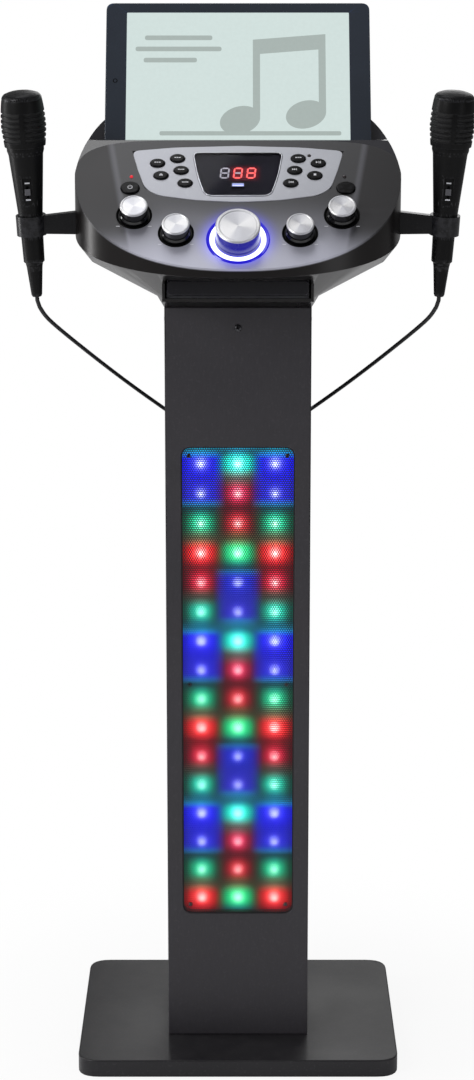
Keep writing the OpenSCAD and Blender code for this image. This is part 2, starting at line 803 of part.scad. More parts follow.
// Involute flank of a gear tooth.
function inv_pt(rb, a) = [rb * (cos(a) + a * PI / 180 * sin(a)),
    rb * (sin(a) - a * PI / 180 * cos(a))];
function turned(p, a) = [p[0] * cos(a) - p[1] * sin(a), p[0] * sin(a) + p[1] * cos(a)];
function roll(rb, r) = sqrt(max(0, r * r / rb / rb - 1)) * 180 / PI;
rub = 0.22;                       // play at each flank
base_circle = gear_r * cos(20);
tip_r = gear_r + gear_m * 0.9;
root_r = gear_r - gear_m * 1.25;
pitch_roll = roll(base_circle, gear_r);
pitch_turn = atan2(inv_pt(base_circle, pitch_roll)[1], inv_pt(base_circle, pitch_roll)[0]);
half_tooth = 90 / gear_n - rub / gear_r * 180 / PI;
flank = [for (k = [0 : 5]) turned(inv_pt(base_circle, roll(base_circle, tip_r) * k / 5),
    -pitch_turn - half_tooth)];

module drive_gear() {
    color("#e6e4dc") head() translate([gear_x, gear_y, frame_z + frame_t + 0.5])
        difference() {
            linear_extrude(gear_t) polygon([for (i = [0 : gear_n - 1]) let (a = i * 360 / gear_n)
                each concat([turned([root_r, 0], a - half_tooth - pitch_turn - 0.4)],
                    [for (p = flank) turned(p, a)],
                    [for (k = [5 : -1 : 0]) turned([flank[k][0], -flank[k][1]], a)],
                    [turned([root_r, 0], a + half_tooth + pitch_turn + 0.4)])]);
            translate([0, 0, -1]) cylinder(r = pin_r + shaft_fit, h = gear_t + 2);
        }
}

// Rack with its teeth towards the gear; a gap faces the gear's tooth at rest.
module rack() {
    p = PI * gear_m;
    slope = tan(20);
    n0 = -2;
    n1 = floor(tray_go / p) + 2;
    h = gear_m * 0.9;
    g = gear_m * 1.2;
    w = p / 4 - rub;
    difference() {
        translate([rack_x - h, gear_y + (n0 + 0.5) * p - w])
            square([3.4 + h, (n1 - n0) * p + 2 * w]);
        for (i = [n0 + 1 : n1]) translate([rack_x, gear_y + i * p])
            polygon([[-h - 1, -p / 2 + w - (h + 1) * slope], [g, -p / 2 + w + g * slope],
                [g, p / 2 - w - g * slope], [-h - 1, p / 2 - w + (h + 1) * slope]]);
    }
}

module disc_tray() {
    color("#333338") head() {
        difference() {
            translate([-tray_w / 2, door_y + door_t, tray_z]) cube([tray_w, tray_l, tray_t]);
            translate([0, well_y, tray_z + tray_t - well_d]) cylinder(r = well_r, h = 20, $fn = 96);
            translate([0, well_y, tray_z - 1]) cylinder(r = 17, h = 20);
            // slot that the spindle stands in as the drawer goes out
            translate([-11, well_y, tray_z - 1]) cube([22, tray_l, 20]);
            translate([-tray_w / 2 + 8, well_y + well_r + 5, tray_z + 3])
                cube([tray_w - 16, tray_l + door_y + door_t - well_y - well_r - 9, 20]);
        }
        translate([0, 0, frame_z + frame_t + 0.6]) linear_extrude(tray_z - frame_z - frame_t - 0.6 + tiny)
            rack();
    }
}

module tray_door() {
    color("#101014") head() along_y(door_y, door_y + door_t)
        translate([0, door_z + door_h / 2]) rounded(door_w, door_h, 3);
}

module disc_spindle() {
    z0 = frame_z + frame_t + 0.5;
    color("#b8b8bc") head() translate([0, well_y, z0]) rotate_extrude() polygon([[0, -2.2],
        [1.5, -2.2], [1.5, 0], [14, 0], [14, 1.3], [7.3, 1.3], [7.3, 2.6], [6.2, 3.5], [0, 3.5]]);
}

// Microphones and their rings

module on_mic(s) {
    head() translate([s * mic_x, mic_y, mic_z]) rotate([mic_tip, s * mic_lean, 0]) children();
}

module mic_body(s) {
    color("#26262a") on_mic(s) difference() {
        rotate_extrude() polygon([[0, 0], [4.4, 0], [5.2, 2], [7.6, 29], [8.4, 33], [10, 34.5],
            [grip_r0, grip_z], [grip_r1, grip_z + grip_h], [12.6, 92], [16.4, mesh_z - 8],
            [17.6, mesh_z - 4], [17.6, mesh_z], [0, mesh_z]]);
        translate([-4.5, -40, slot_z - 13]) cube([9, 40 - plate_y, 26]);
        translate([-1.2, -plate_y - 1, slot_z - 6]) cube([2.4, 4, 12]);
    }
}

module mic_grille(s) {
    top = mic_l - mesh_z;
    rim = mic_r * 0.9 - 6;           // centre of the rounding at the edge of the top
    color("#3a3a3e") on_mic(s) translate([0, 0, mesh_z]) rotate_extrude() polygon(concat(
        [[0, 0], [mic_r - 1.8, 0], [mic_r - 1.2, 1.5], [mic_r - 1.2, 5], [mic_r - 1.8, 6.5],
            [mic_r - 1.6, 8], [mic_r - 0.5, 12]],
        [for (k = [0 : 5]) [mic_r * (1 - 0.1 * k * k / 25), 17 + (top - 25) * k / 5]],
        [for (t = [15 : 15 : 60]) [rim + 6 * cos(t), top - 8 + 6 * sin(t)]],
        [[mic_r * 0.5, top - 0.9], [0, top]]));
}

module mic_switch(s) {
    color("#8a8a90") on_mic(s) translate([0, -plate_y, slot_z]) {
        translate([-2.6, -1.9, -3]) cube([5.2, 1.7, 6]);
        translate([-1, -0.3, -2]) cube([2, 1.1, 4]);
    }
}

ring_r = grip_r1 + mic_play + ring_wall;
ring_y = mic_y - (grip_z + grip_h / 2) * sin(mic_tip);

module mic_holder(s) {
    color("#1e1e22") difference() {
        union() {
            on_mic(s) translate([0, 0, grip_z + 0.5]) cylinder(r = ring_r, h = grip_h - 1);
            head() along_y(ring_y - 7, ring_y + 8) polygon([
                [s * (head_w / 2 - 8), mic_z + grip_z + 1], [s * (mic_x - 4), mic_z + grip_z + 1.5],
                [s * (mic_x - 4), mic_z + grip_z + grip_h - 2],
                [s * (head_w / 2 - 8), mic_z + grip_z + grip_h + 3]]);
        }
        head() linear_extrude(300) head_plan();
        on_mic(s) {
            translate([0, 0, grip_z]) cylinder(r1 = grip_r0 + mic_play, r2 = grip_r1 + mic_play,
                h = grip_h);
            // the lead slips out through this gap
            translate([-3, 0, 0]) cube([6, 40, 200]);
        }
    }
}

module left_mic_body() { mic_body(-1); }
module left_mic_grille() { mic_grille(-1); }
module left_mic_switch() { mic_switch(-1); }
module left_mic_holder() { mic_holder(-1); }
module right_mic_body() { mic_body(1); }
module right_mic_grille() { mic_grille(1); }
module right_mic_switch() { mic_switch(1); }
module right_mic_holder() { mic_holder(1); }

// Tablet

screen_w = tab_w - 41;
screen_h = tab_h - 24;
screen_t = 0.8;

module tablet_body() {
    color("#343b45") on_tablet() difference() {
        along_y(0, tab_t) translate([0, tab_h / 2]) rounded(tab_w, tab_h, 8);
        along_y(-1, screen_t) translate([0, tab_h / 2 + 1]) square([screen_w, screen_h], center = true);
    }
}

module tablet_screen() {
    color("#dcebe8") on_tablet() along_y(0, screen_t) translate([0, tab_h / 2 + 1])
        square([screen_w, screen_h], center = true);
}

// Leads

function unit(v) = v / norm(v);
function dir_at(p, i) = unit(p[min(i + 1, len(p) - 1)] - p[max(i - 1, 0)]);
// Frames carried along a path, so that the tube doesn't twist.
function side_at(t, u) = unit(u - (u * t) * t);
function sides(p, u, i = 0, out = []) = i >= len(p) ? out :
    let (s = side_at(dir_at(p, i), u)) sides(p, s, i + 1, concat(out, [s]));

module tube(p, r, n, u0) {
    k = len(p);
    f = sides(p, u0);
    pts = [for (i = [0 : k - 1]) let (t = dir_at(p, i), v = cross(t, f[i]))
        for (j = [0 : n - 1]) p[i] + r * cos(360 * j / n) * f[i] + r * sin(360 * j / n) * v];
    faces = concat(
        [for (i = [0 : k - 2], j = [0 : n - 1]) let (a = i * n + j, b = i * n + (j + 1) % n)
            each [[a, a + n, b + n], [a, b + n, b]]],
        [for (j = [1 : n - 2]) [0, j, j + 1]],
        [for (j = [1 : n - 2]) [(k - 1) * n, (k - 1) * n + j + 1, (k - 1) * n + j]]);
    polyhedron(pts, faces);
}

// A stored coil spirals in on its lower layer, climbs in the half turn where it
// reverses, and spirals out again on top.
coil_half = coil_turns + 0.25;
function coil_pt(v) = let (w = abs(v) < 0.25 ? 0.25 * 0.5 + v * v * 2 : abs(v),
        r = coil_r - coil_step * (coil_half - w), a = 360 * v,
        z = v < -0.25 ? 0 : v > 0.25 ? 1 : 0.5 - 0.5 * cos(360 * (v + 0.25)))
    [r * cos(a), r * sin(a), z * coil_step];
coil_steps = round(2 * coil_half * coil_bits);
coil_body = [for (i = [0 : coil_steps]) coil_pt(-coil_half + 2 * coil_half * i / coil_steps)];
coil_in = unit(coil_body[1] - coil_body[0]);
coil_out = unit(coil_body[coil_steps] - coil_body[coil_steps - 1]);
coil_path = concat([coil_body[0] - lead_d * coil_in - 0.5 * coil_in, coil_body[0] - 0.5 * coil_in],
    [for (i = [1 : coil_steps - 1]) coil_body[i]],
    [coil_body[coil_steps] + 0.5 * coil_out, coil_body[coil_steps] + (0.5 + lead_d) * coil_out]);
coil_near = min([for (i = [0 : 2 : coil_steps], j = [i + 14 : 1 : coil_steps])
    norm(coil_body[i] - coil_body[j])]) - lead_d;
echo(coil_gap_to_itself = coil_near, coil_loops = 2 * coil_half);

module coil(s) {
    color("#18181a") translate([s * coil_x, coil_y, coil_z])
        tube([for (p = coil_path) [-s * p[0], p[1], p[2]]], lead_r, 6, [0, 0, 1]);
}

module left_coil() { coil(-1); }
module right_coil() { coil(1); }

function curve(a, b, c, d, t) = 0.5 * (2 * b + (c - a) * t + (2 * a - 5 * b + 4 * c - d) * t * t
    + (3 * b - a - 3 * c + d) * t * t * t);
// A smooth path through hand-chosen points, with n rings a span.
function smooth(p, n) = let (m = len(p) - 1) concat([for (i = [0 : m - 1], k = [0 : n - 1])
    curve(p[max(i - 1, 0)], p[i], p[i + 1], p[min(i + 2, m)], k / n)], [p[m]]);
function run(p, i = 0) = i >= len(p) - 1 ? 0 : norm(p[i + 1] - p[i]) + run(p, i + 1);

mic_down = [-sin(mic_lean) * cos(mic_tip), sin(mic_tip), -cos(mic_lean) * cos(mic_tip)];
mic_foot = [mic_x, mic_y - col_d / 2, col_top + mic_z];
lead_in = coil_path[0];
lead_out = coil_path[len(coil_path) - 1];
back_y = col_d / 2;
clip_z = 590;
clip_y = back_y + 4;
clip_x = 3.4;

// From the microphone down behind the column, through the clip and to the coil.
mic_run = concat([mic_foot + 0.3 * mic_down, mic_foot + (0.3 + lead_d) * mic_down],
    smooth([[190.6, -68, 769], [181, -58, 754], [151, -18, 720], [112, 36, 678], [72, 74, 641],
        [42, 78, 620], [24, 77, 610]], 4),
    smooth([[12, clip_y + 1, 604], [5.5, clip_y, 600], [clip_x, clip_y, clip_z + 5]], 2),
    smooth([[clip_x, clip_y, clip_z - 5], [5, 74, 570], [12, 75, 530], [28, 76, 440],
        [44, 76, 330], [56, 76, 220], [63, 76, 120], [64, 76, 70], [63, 76, 44]], 2),
    [[61.5, 75.6, 34], [57.5, 75, 26]],
    [[coil_x - lead_in[0] + 12, coil_y + lead_in[1] + 0.2, coil_z + 1.2],
        [coil_x - lead_in[0] + 5, coil_y + lead_in[1], coil_z],
        [coil_x - lead_in[0], coil_y + lead_in[1], coil_z]]);

plug_end = [jack_x, flat_y - col_d / 2 + plate_t + plug_l, col_top + socket_z];
// From the coil up to the plug.
plug_run = concat([[coil_x - lead_out[0], coil_y + lead_out[1], coil_z + lead_out[2]],
        [coil_x - lead_out[0] + 5, coil_y + lead_out[1], coil_z + lead_out[2]]],
    smooth([[50, 128, 28], [55, 128, 36], [57, 128, 52], [57, 128, 100], [55, 128, 250],
        [50, 128, 450], [45, 128, 620], [40, 128, 760], [37, 128, 830]], 2),
    [[36, 127, 848], plug_end + [0, 12, -6.5], plug_end + [0, 6.5, -0.6], plug_end + [0, 4, 0],
        plug_end]);
echo(mic_lead_length = run(mic_run) + run(coil_path) + run(plug_run),
    rings = len(mic_run) + len(plug_run));

module lead(s) {
    color("#18181a") {
        tube([for (p = mic_run) [s * p[0], p[1], p[2]]], lead_r, 8, [0, 1, 0]);
        tube([for (p = plug_run) [s * p[0], p[1], p[2]]], lead_r, 8, [0, 1, 0]);
    }
}

module left_lead() { lead(-1); }
module right_lead() { lead(1); }

module mic_plugs() {
    color("#222226") head() for (s = [-1, 1])
        translate([s * jack_x, flat_y + plate_t, socket_z]) rotate([-90, 0, 0])
            rotate_extrude() polygon([[0, -24], [1.6, -24], [socket_r - 0.1, -21],
                [socket_r - 0.1, 0], [plug_r, 0], [plug_r, 20], [plug_r - 1.2, 22],
                [3.4, plug_l - 1], [3.4, plug_l], [0, plug_l]]);
}

module lead_clip() {
    color("#202022") translate([0, back_y, clip_z - 6]) linear_extrude(12) difference() {
        translate([-9, 0]) square([18, 4 + lead_r + 2]);
        for (s = [-1, 1]) translate([s * clip_x, 4]) circle(lead_r + 0.25);
    }
}

base_plate();
column_front();
column_shell();
column_screws();
grille_mesh();
lamp_board();
lamp_lenses();
speaker_baffle();
speaker();
lower_shell();
upper_shell();
rear_shell();
backrest();
button_panel();
display_window();
display_digits();
usb_socket();
light_ring();
knob_bezels();
indicator_lamps();
circuit_boards();
rear_sockets();
left_mic_holder();
right_mic_holder();
drawer_frame();
drive_gear();
disc_tray();
tray_door();
disc_spindle();
left_outer_knob();
left_inner_knob();
main_volume_knob();
right_inner_knob();
right_outer_knob();
left_button_1();
left_button_2();
left_button_3();
left_button_4();
left_button_5();
right_button_1();
right_button_2();
right_button_3();
right_button_4();
right_button_5();
power_button();
open_button();
left_mic_body();
left_mic_grille();
left_mic_switch();
right_mic_body();
right_mic_grille();
right_mic_switch();
tablet_body();
tablet_screen();
left_lead();
right_lead();
left_coil();
right_coil();
mic_plugs();
lead_clip();
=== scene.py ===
import logging
import math
from collections.abc import Callable, Iterable, Sequence
from dataclasses import dataclass
from enum import Enum

import bmesh
import bpy
from mathutils import Matrix, Vector


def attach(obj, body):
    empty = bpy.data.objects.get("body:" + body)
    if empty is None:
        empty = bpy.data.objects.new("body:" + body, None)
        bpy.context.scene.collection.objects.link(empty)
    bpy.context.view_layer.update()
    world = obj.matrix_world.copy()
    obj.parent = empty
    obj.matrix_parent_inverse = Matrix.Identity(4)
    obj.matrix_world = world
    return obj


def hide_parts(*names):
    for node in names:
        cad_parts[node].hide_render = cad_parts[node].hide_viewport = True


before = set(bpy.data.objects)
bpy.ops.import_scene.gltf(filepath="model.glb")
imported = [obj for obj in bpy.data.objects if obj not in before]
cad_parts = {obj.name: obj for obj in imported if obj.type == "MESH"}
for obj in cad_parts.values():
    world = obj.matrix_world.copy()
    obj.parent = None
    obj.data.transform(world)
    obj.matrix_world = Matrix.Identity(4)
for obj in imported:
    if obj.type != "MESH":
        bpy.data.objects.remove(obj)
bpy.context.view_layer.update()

log = logging.getLogger("karaoke_machine")
MM = 0.001
Point = tuple[float, ...]
Node = bpy.types.Node
Socket = bpy.types.NodeSocket
Tree = bpy.types.NodeTree


# Places, in millimetres

def shift(x: float, y: float, z: float) -> Matrix:
    """Matrix that moves by x, y and z."""
    return Matrix.Translation((x, y, z))


def turn(degrees: float, axis: str) -> Matrix:
    """Matrix that turns about one axis."""
    return Matrix.Rotation(math.radians(degrees), 4, axis)


TILT = 42.5
COLUMN_FRONT = -69.0
COLUMN_TOP = 769.0
LIGHT_WINDOW = (111.0, 482.0)
LIGHT_WINDOW_MID = 391.0
MICROPHONE_FOOT = Vector((193, COLUMN_FRONT, 780))
DIAL = (0.0, 36.0)
LIT_DIGITS = (6.3, 119.5)
REMOTE_EYE = (68.0, 140.0)
JACK_OUT = 35.0
HEAD = shift(0, COLUMN_FRONT, COLUMN_TOP)
FACING_FRONT = turn(90, "X")
FACING_BACK = turn(-90, "X")
ON_SOCKETS = HEAD @ shift(0, 141, 95) @ FACING_BACK


def on_face(x: float, s: float, lift: float = 0.0) -> Matrix:
    """Place on the control face.

    Args:
        x: Distance from the middle.
        s: Distance up the slope from the front lip.
        lift: Height above the face.

    Returns:
        Matrix whose Z points out of the face.
    """
    run, rise = math.cos(math.radians(TILT)), math.sin(math.radians(TILT))
    return HEAD @ shift(x, -90 + s * run, 49 + s * rise) @ turn(TILT, "X") @ shift(0, 0, lift)


def on_microphone(side: int) -> Matrix:
    """Frame of a microphone, with Z along its axis from the foot."""
    return HEAD @ shift(side * 193, 0, 11) @ turn(3 * side, "Y") @ turn(6, "X")


RIDGE_Y = -90 + 160 * math.cos(math.radians(TILT))
RIDGE_Z = 49 + 160 * math.sin(math.radians(TILT))
ON_TABLET = HEAD @ shift(0, RIDGE_Y + 17, RIDGE_Z - 13) @ turn(-30, "X")


# Outlines

def fillet(points: Sequence[Point], radius: float | Sequence[float], closed: bool = True,
           bits: int = 4) -> list[Vector]:
    """Rounds the corners of a flat line.

    Args:
        points: Corners in order.
        radius: Rounding, one for all or one for each corner, made smaller where the sides are short.
        closed: Whether the last corner joins the first.
        bits: Spans in each rounding.

    Returns:
        Points of the rounded line.
    """
    pts = [Vector(p[:2]) for p in points]
    out: list[Vector] = []
    for i, p in enumerate(pts):
        if not closed and i in (0, len(pts) - 1):
            out.append(p)
            continue
        a, b = pts[i - 1] - p, pts[(i + 1) % len(pts)] - p
        if a.length < 1e-6 or b.length < 1e-6:
            continue
        angle = a.angle(b)
        if angle > math.radians(176):
            out.append(p)
            continue
        wanted = radius[i] if isinstance(radius, (list, tuple)) else radius
        cut = min(wanted / math.tan(angle / 2), a.length * 0.49, b.length * 0.49)
        start, end = p + a.normalized() * cut, p + b.normalized() * cut
        for k in range(bits + 1):
            t = k / bits
            out.append((1 - t) ** 2 * start + 2 * t * (1 - t) * p + t * t * end)
    return out


def oval(w: float, h: float, steps: int = 40) -> list[Vector]:
    """Outline of an ellipse of that width and height."""
    return [Vector((w / 2 * math.cos(math.tau * i / steps), h / 2 * math.sin(math.tau * i / steps)))
            for i in range(steps)]


def oblong(w: float, h: float, r: float, x: float = 0.0, y: float = 0.0) -> list[Vector]:
    """Outline of a rectangle with rounded corners, centred at x and y."""
    pts = [(-w / 2, -h / 2), (w / 2, -h / 2), (w / 2, h / 2), (-w / 2, h / 2)]
    return [p + Vector((x, y)) for p in fillet(pts, r, bits=6)]


def moved(points: Iterable[Vector], x: float, y: float, degrees: float = 0.0) -> list[Vector]:
    """Outline turned, then moved by x and y."""
    spin = Matrix.Rotation(math.radians(degrees), 2)
    return [spin @ Vector(p[:2]) + Vector((x, y)) for p in points]


def drawn_in(points: Sequence[Vector], d: float) -> list[Vector]:
    """Outline moved to its left by d, which is inwards where it runs anticlockwise."""
    out = []
    for i, p in enumerate(points):
        a = (p - points[i - 1]).normalized()
        b = (points[(i + 1) % len(points)] - p).normalized()
        n = Vector((-a.y - b.y, a.x + b.x))
        n = n.normalized() if n.length > 1e-9 else Vector((-a.y, a.x))
        out.append(p + n * d / max(0.35, n.dot(Vector((-a.y, a.x)))))
    return out


def anticlockwise(points: Sequence[Vector]) -> bool:
    """Whether a closed outline runs anticlockwise."""
    return sum(p.x * points[i - 1].y - p.y * points[i - 1].x for i, p in enumerate(points)) < 0


# Node trees

class Sketch:
    """Writes nodes and links into a shader or geometry tree."""

    def __init__(self, tree: Tree) -> None:
        """Keeps the tree that is written."""
        self.tree = tree

    def put(self, kind: str, inputs: dict | None = None, **settings: object) -> Node:
        """Adds a node.

        Args:
            kind: Blender's name of the node type.
            inputs: Values or sockets by input name or number.
            settings: Properties of the node.

        Returns:
            The new node.
        """
        made = self.tree.nodes.new(kind)
        for name, value in settings.items():
            setattr(made, name, value)
        for key, value in (inputs or {}).items():
            if isinstance(value, Socket):
                self.tree.links.new(value, made.inputs[key])
            else:
                made.inputs[key].default_value = value
        return made

    def out(self, kind: str, inputs: dict | None = None, **settings: object) -> Socket:
        """Adds a node and gives its first output."""
        return self.put(kind, inputs, **settings).outputs[0]

    def sum(self, op: str, a: object, b: object = 0.0, c: object = 0.0, clamp: bool = False) -> Socket:
        """Result of a Math node."""
        return self.out("ShaderNodeMath", {0: a, 1: b, 2: c}, operation=op, use_clamp=clamp)

    def times(self, a: object, b: object, clamp: bool = False) -> Socket:
        """Product of two values."""
        return self.sum("MULTIPLY", a, b, clamp=clamp)

    def plus(self, a: object, b: object) -> Socket:
        """Sum of two values."""
        return self.sum("ADD", a, b)

    def less(self, a: object, b: object) -> Socket:
        """First value less the second."""
        return self.sum("SUBTRACT", a, b)

    def blend(self, factor: object, a: object, b: object, mode: str = "MIX") -> Socket:
        """Result of a colour mix."""
        mix = self.put("ShaderNodeMix", {0: factor, 6: a, 7: b}, data_type="RGBA", blend_type=mode)
        return mix.outputs[2]

    def span(self, value: object, low: float, high: float, to_low: object = 0.0, to_high: object = 1.0,
             smooth: bool = True) -> Socket:
        """Value carried from low..high to another range and held there."""
        return self.out("ShaderNodeMapRange", {0: value, 1: low, 2: high, 3: to_low, 4: to_high},
                        interpolation_type="SMOOTHSTEP" if smooth else "LINEAR")

    def ramp(self, factor: object, stops: Sequence[tuple[float, Point]], mode: str = "LINEAR") -> Node:
        """Colour ramp through the stops."""
        node = self.put("ShaderNodeValToRGB", {0: factor})
        node.color_ramp.interpolation = mode
        marks = node.color_ramp.elements
        while len(marks) < len(stops):
            marks.new(1.0)
        for mark, (at, colour) in zip(marks, stops):
            mark.position = at
            mark.color = colour if len(colour) == 4 else (*colour, 1)
        return node

    def shine(self, body: Node, light: Socket, strength: float) -> None:
        """Makes a shader give off light."""
        self.tree.links.new(light, body.inputs["Emission Color"])
        body.inputs["Emission Strength"].default_value = strength

    def length(self, x: Socket, y: Socket) -> Socket:
        """Distance from the middle of a plane."""
        return self.sum("SQRT", self.sum("ADD", self.sum("POWER", x, 2.0), self.sum("POWER", y, 2.0)))

    def where(self) -> Socket:
        """Object coordinates."""
        return self.put("ShaderNodeTexCoord").outputs["Object"]

    def local(self, place: Matrix) -> Node:
        """Object coordinates in millimetres within a place, split into X, Y and Z."""
        inner = place.inverted()
        node = self.put("ShaderNodeMapping", {
            "Vector": self.where(), "Location": inner.translation, "Rotation": inner.to_euler(),
            "Scale": (1 / MM, 1 / MM, 1 / MM)}, vector_type="POINT")
        return self.put("ShaderNodeSeparateXYZ", {0: node.outputs[0]})


def shader_group(name: str, ins: dict[str, object], outs: dict[str, str],
                 write: Callable[[Sketch, Node], dict[str, Socket]]) -> Tree:
    """Makes a shader node group once.

    Args:
        name: Name of the group.
        ins: Input names with their start values; four numbers make a colour.
        outs: Output names with "Float" or "Color".
        write: Writes the inside and returns the socket for each output.

    Returns:
        The group.
    """
    if name in bpy.data.node_groups:
        return bpy.data.node_groups[name]
    tree = bpy.data.node_groups.new(name, "ShaderNodeTree")
    for key, value in ins.items():
        kind = "NodeSocketColor" if isinstance(value, tuple) else "NodeSocketFloat"
        tree.interface.new_socket(key, in_out="INPUT", socket_type=kind).default_value = value
    for key, kind in outs.items():
        tree.interface.new_socket(key, in_out="OUTPUT", socket_type="NodeSocket" + kind)
    pen = Sketch(tree)
    results = write(pen, pen.put("NodeGroupInput"))
    pen.put("NodeGroupOutput", results)
    return tree


def surface_group() -> Tree:
    """Group for grain, drifting colour and flecks of a moulded, painted or laminated surface."""
    def write(pen: Sketch, given: Node) -> dict[str, Socket]:
        """Writes the nodes of the group."""
        get = given.outputs
        at = pen.where()
        drift = pen.out("ShaderNodeTexNoise", {"Vector": at, "Scale": get["Drift"], "Detail": 3.0})
        stretch = pen.out("ShaderNodeVectorMath", {0: at, 1: (1, 1, 0.16)}, operation="MULTIPLY")
        along = pen.put("ShaderNodeMix", {0: get["Lengthwise"], 4: at, 5: stretch},
                        data_type="VECTOR").outputs[1]
        grain = pen.out("ShaderNodeTexNoise", {"Vector": along, "Scale": get["Grain"], "Detail": 4.0,
                                               "Roughness": 0.62})
        speck = pen.out("ShaderNodeTexNoise", {"Vector": at, "Scale": pen.times(get["Grain"], 0.55),
                                               "Detail": 1.0})
        fleck = pen.times(pen.span(speck, 0.6, 0.74), get["Fleck"])
        wander = pen.span(drift, 0.32, 0.68)
        base = pen.blend(wander, get["Colour"], get["Second"])
        grainy = pen.blend(pen.times(pen.span(grain, 0.35, 0.7), get["Tone"]), base, get["Second"], "ADD")
        flecked = pen.blend(fleck, grainy, get["Fleck colour"])
        rough = pen.sum("MULTIPLY_ADD", pen.less(wander, 0.5), get["Spread"], get["Roughness"])
        rough = pen.sum("MULTIPLY_ADD", pen.less(grain, 0.5), get["Spread"], rough)
        return {"Colour": flecked, "Roughness": rough,
                "Height": pen.sum("MULTIPLY_ADD", grain, 0.8, pen.times(drift, 0.2))}
    return shader_group("surface", {"Colour": (.1, .1, .1, 1), "Second": (.1, .1, .1, 1), "Drift": 14.0,
                                    "Grain": 900.0, "Lengthwise": 0.0, "Tone": 0.1, "Fleck": 0.1,
                                    "Fleck colour": (.3, .3, .3, 1), "Roughness": 0.4, "Spread": 0.1},
                        {"Colour": "Color", "Roughness": "Float", "Height": "Float"}, write)


def dust_group() -> Tree:
    """Group for a thin film of dust on what faces up."""
    def write(pen: Sketch, given: Node) -> dict[str, Socket]:
        """Writes the nodes of the group."""
        get = given.outputs
        normal = pen.put("ShaderNodeNewGeometry").outputs["Normal"]
        up = pen.put("ShaderNodeSeparateXYZ", {0: normal}).outputs[2]
        cloud = pen.out("ShaderNodeTexNoise", {"Vector": pen.where(), "Scale": 60.0, "Detail": 5.0})
        mask = pen.times(pen.span(up, 0.2, 1.0), pen.span(cloud, 0.3, 0.75))
        mask = pen.times(mask, get["Amount"], clamp=True)
        return {"Colour": pen.blend(mask, get["Colour"], (.36, .35, .34, 1)),
                "Roughness": pen.sum("MULTIPLY_ADD", mask, 0.3, get["Roughness"])}
    return shader_group("dust", {"Colour": (.1, .1, .1, 1), "Roughness": 0.4, "Amount": 0.1},
                        {"Colour": "Color", "Roughness": "Float"}, write)


def wear_group() -> Tree:
    """Group for edges rubbed lighter and smoother by handling."""
    def write(pen: Sketch, given: Node) -> dict[str, Socket]:
        """Writes the nodes of the group."""
        get = given.outputs
        edge = pen.put("ShaderNodeAttribute", attribute_name="rubbed").outputs["Fac"]
        patch = pen.out("ShaderNodeTexNoise", {"Vector": pen.where(), "Scale": 240.0, "Detail": 4.0})
        mask = pen.times(pen.times(edge, pen.span(patch, 0.35, 0.65)), get["Amount"], clamp=True)
        return {"Colour": pen.blend(mask, get["Colour"], get["Bare colour"]),
                "Roughness": pen.sum("MULTIPLY_ADD", mask, -0.08, get["Roughness"])}
    return shader_group("wear", {"Colour": (.1, .1, .1, 1), "Bare colour": (.4, .4, .4, 1), "Roughness": 0.4,
                                 "Amount": 0.3}, {"Colour": "Color", "Roughness": "Float"}, write)


def ink(r: float, g: float, b: float) -> Point:
    """Linear colour of a shade given in the usual 0 to 255 numbers."""
    return tuple(((c / 255 + 0.055) / 1.055) ** 2.4 if c > 10.3 else c / 255 / 12.92 for c in (r, g, b))


# Finishes

@dataclass
class Look:
    """Shader of a finish while it is made, with what goes into it."""

    body: Node
    colour: Socket
    rough: Socket
    height: Socket


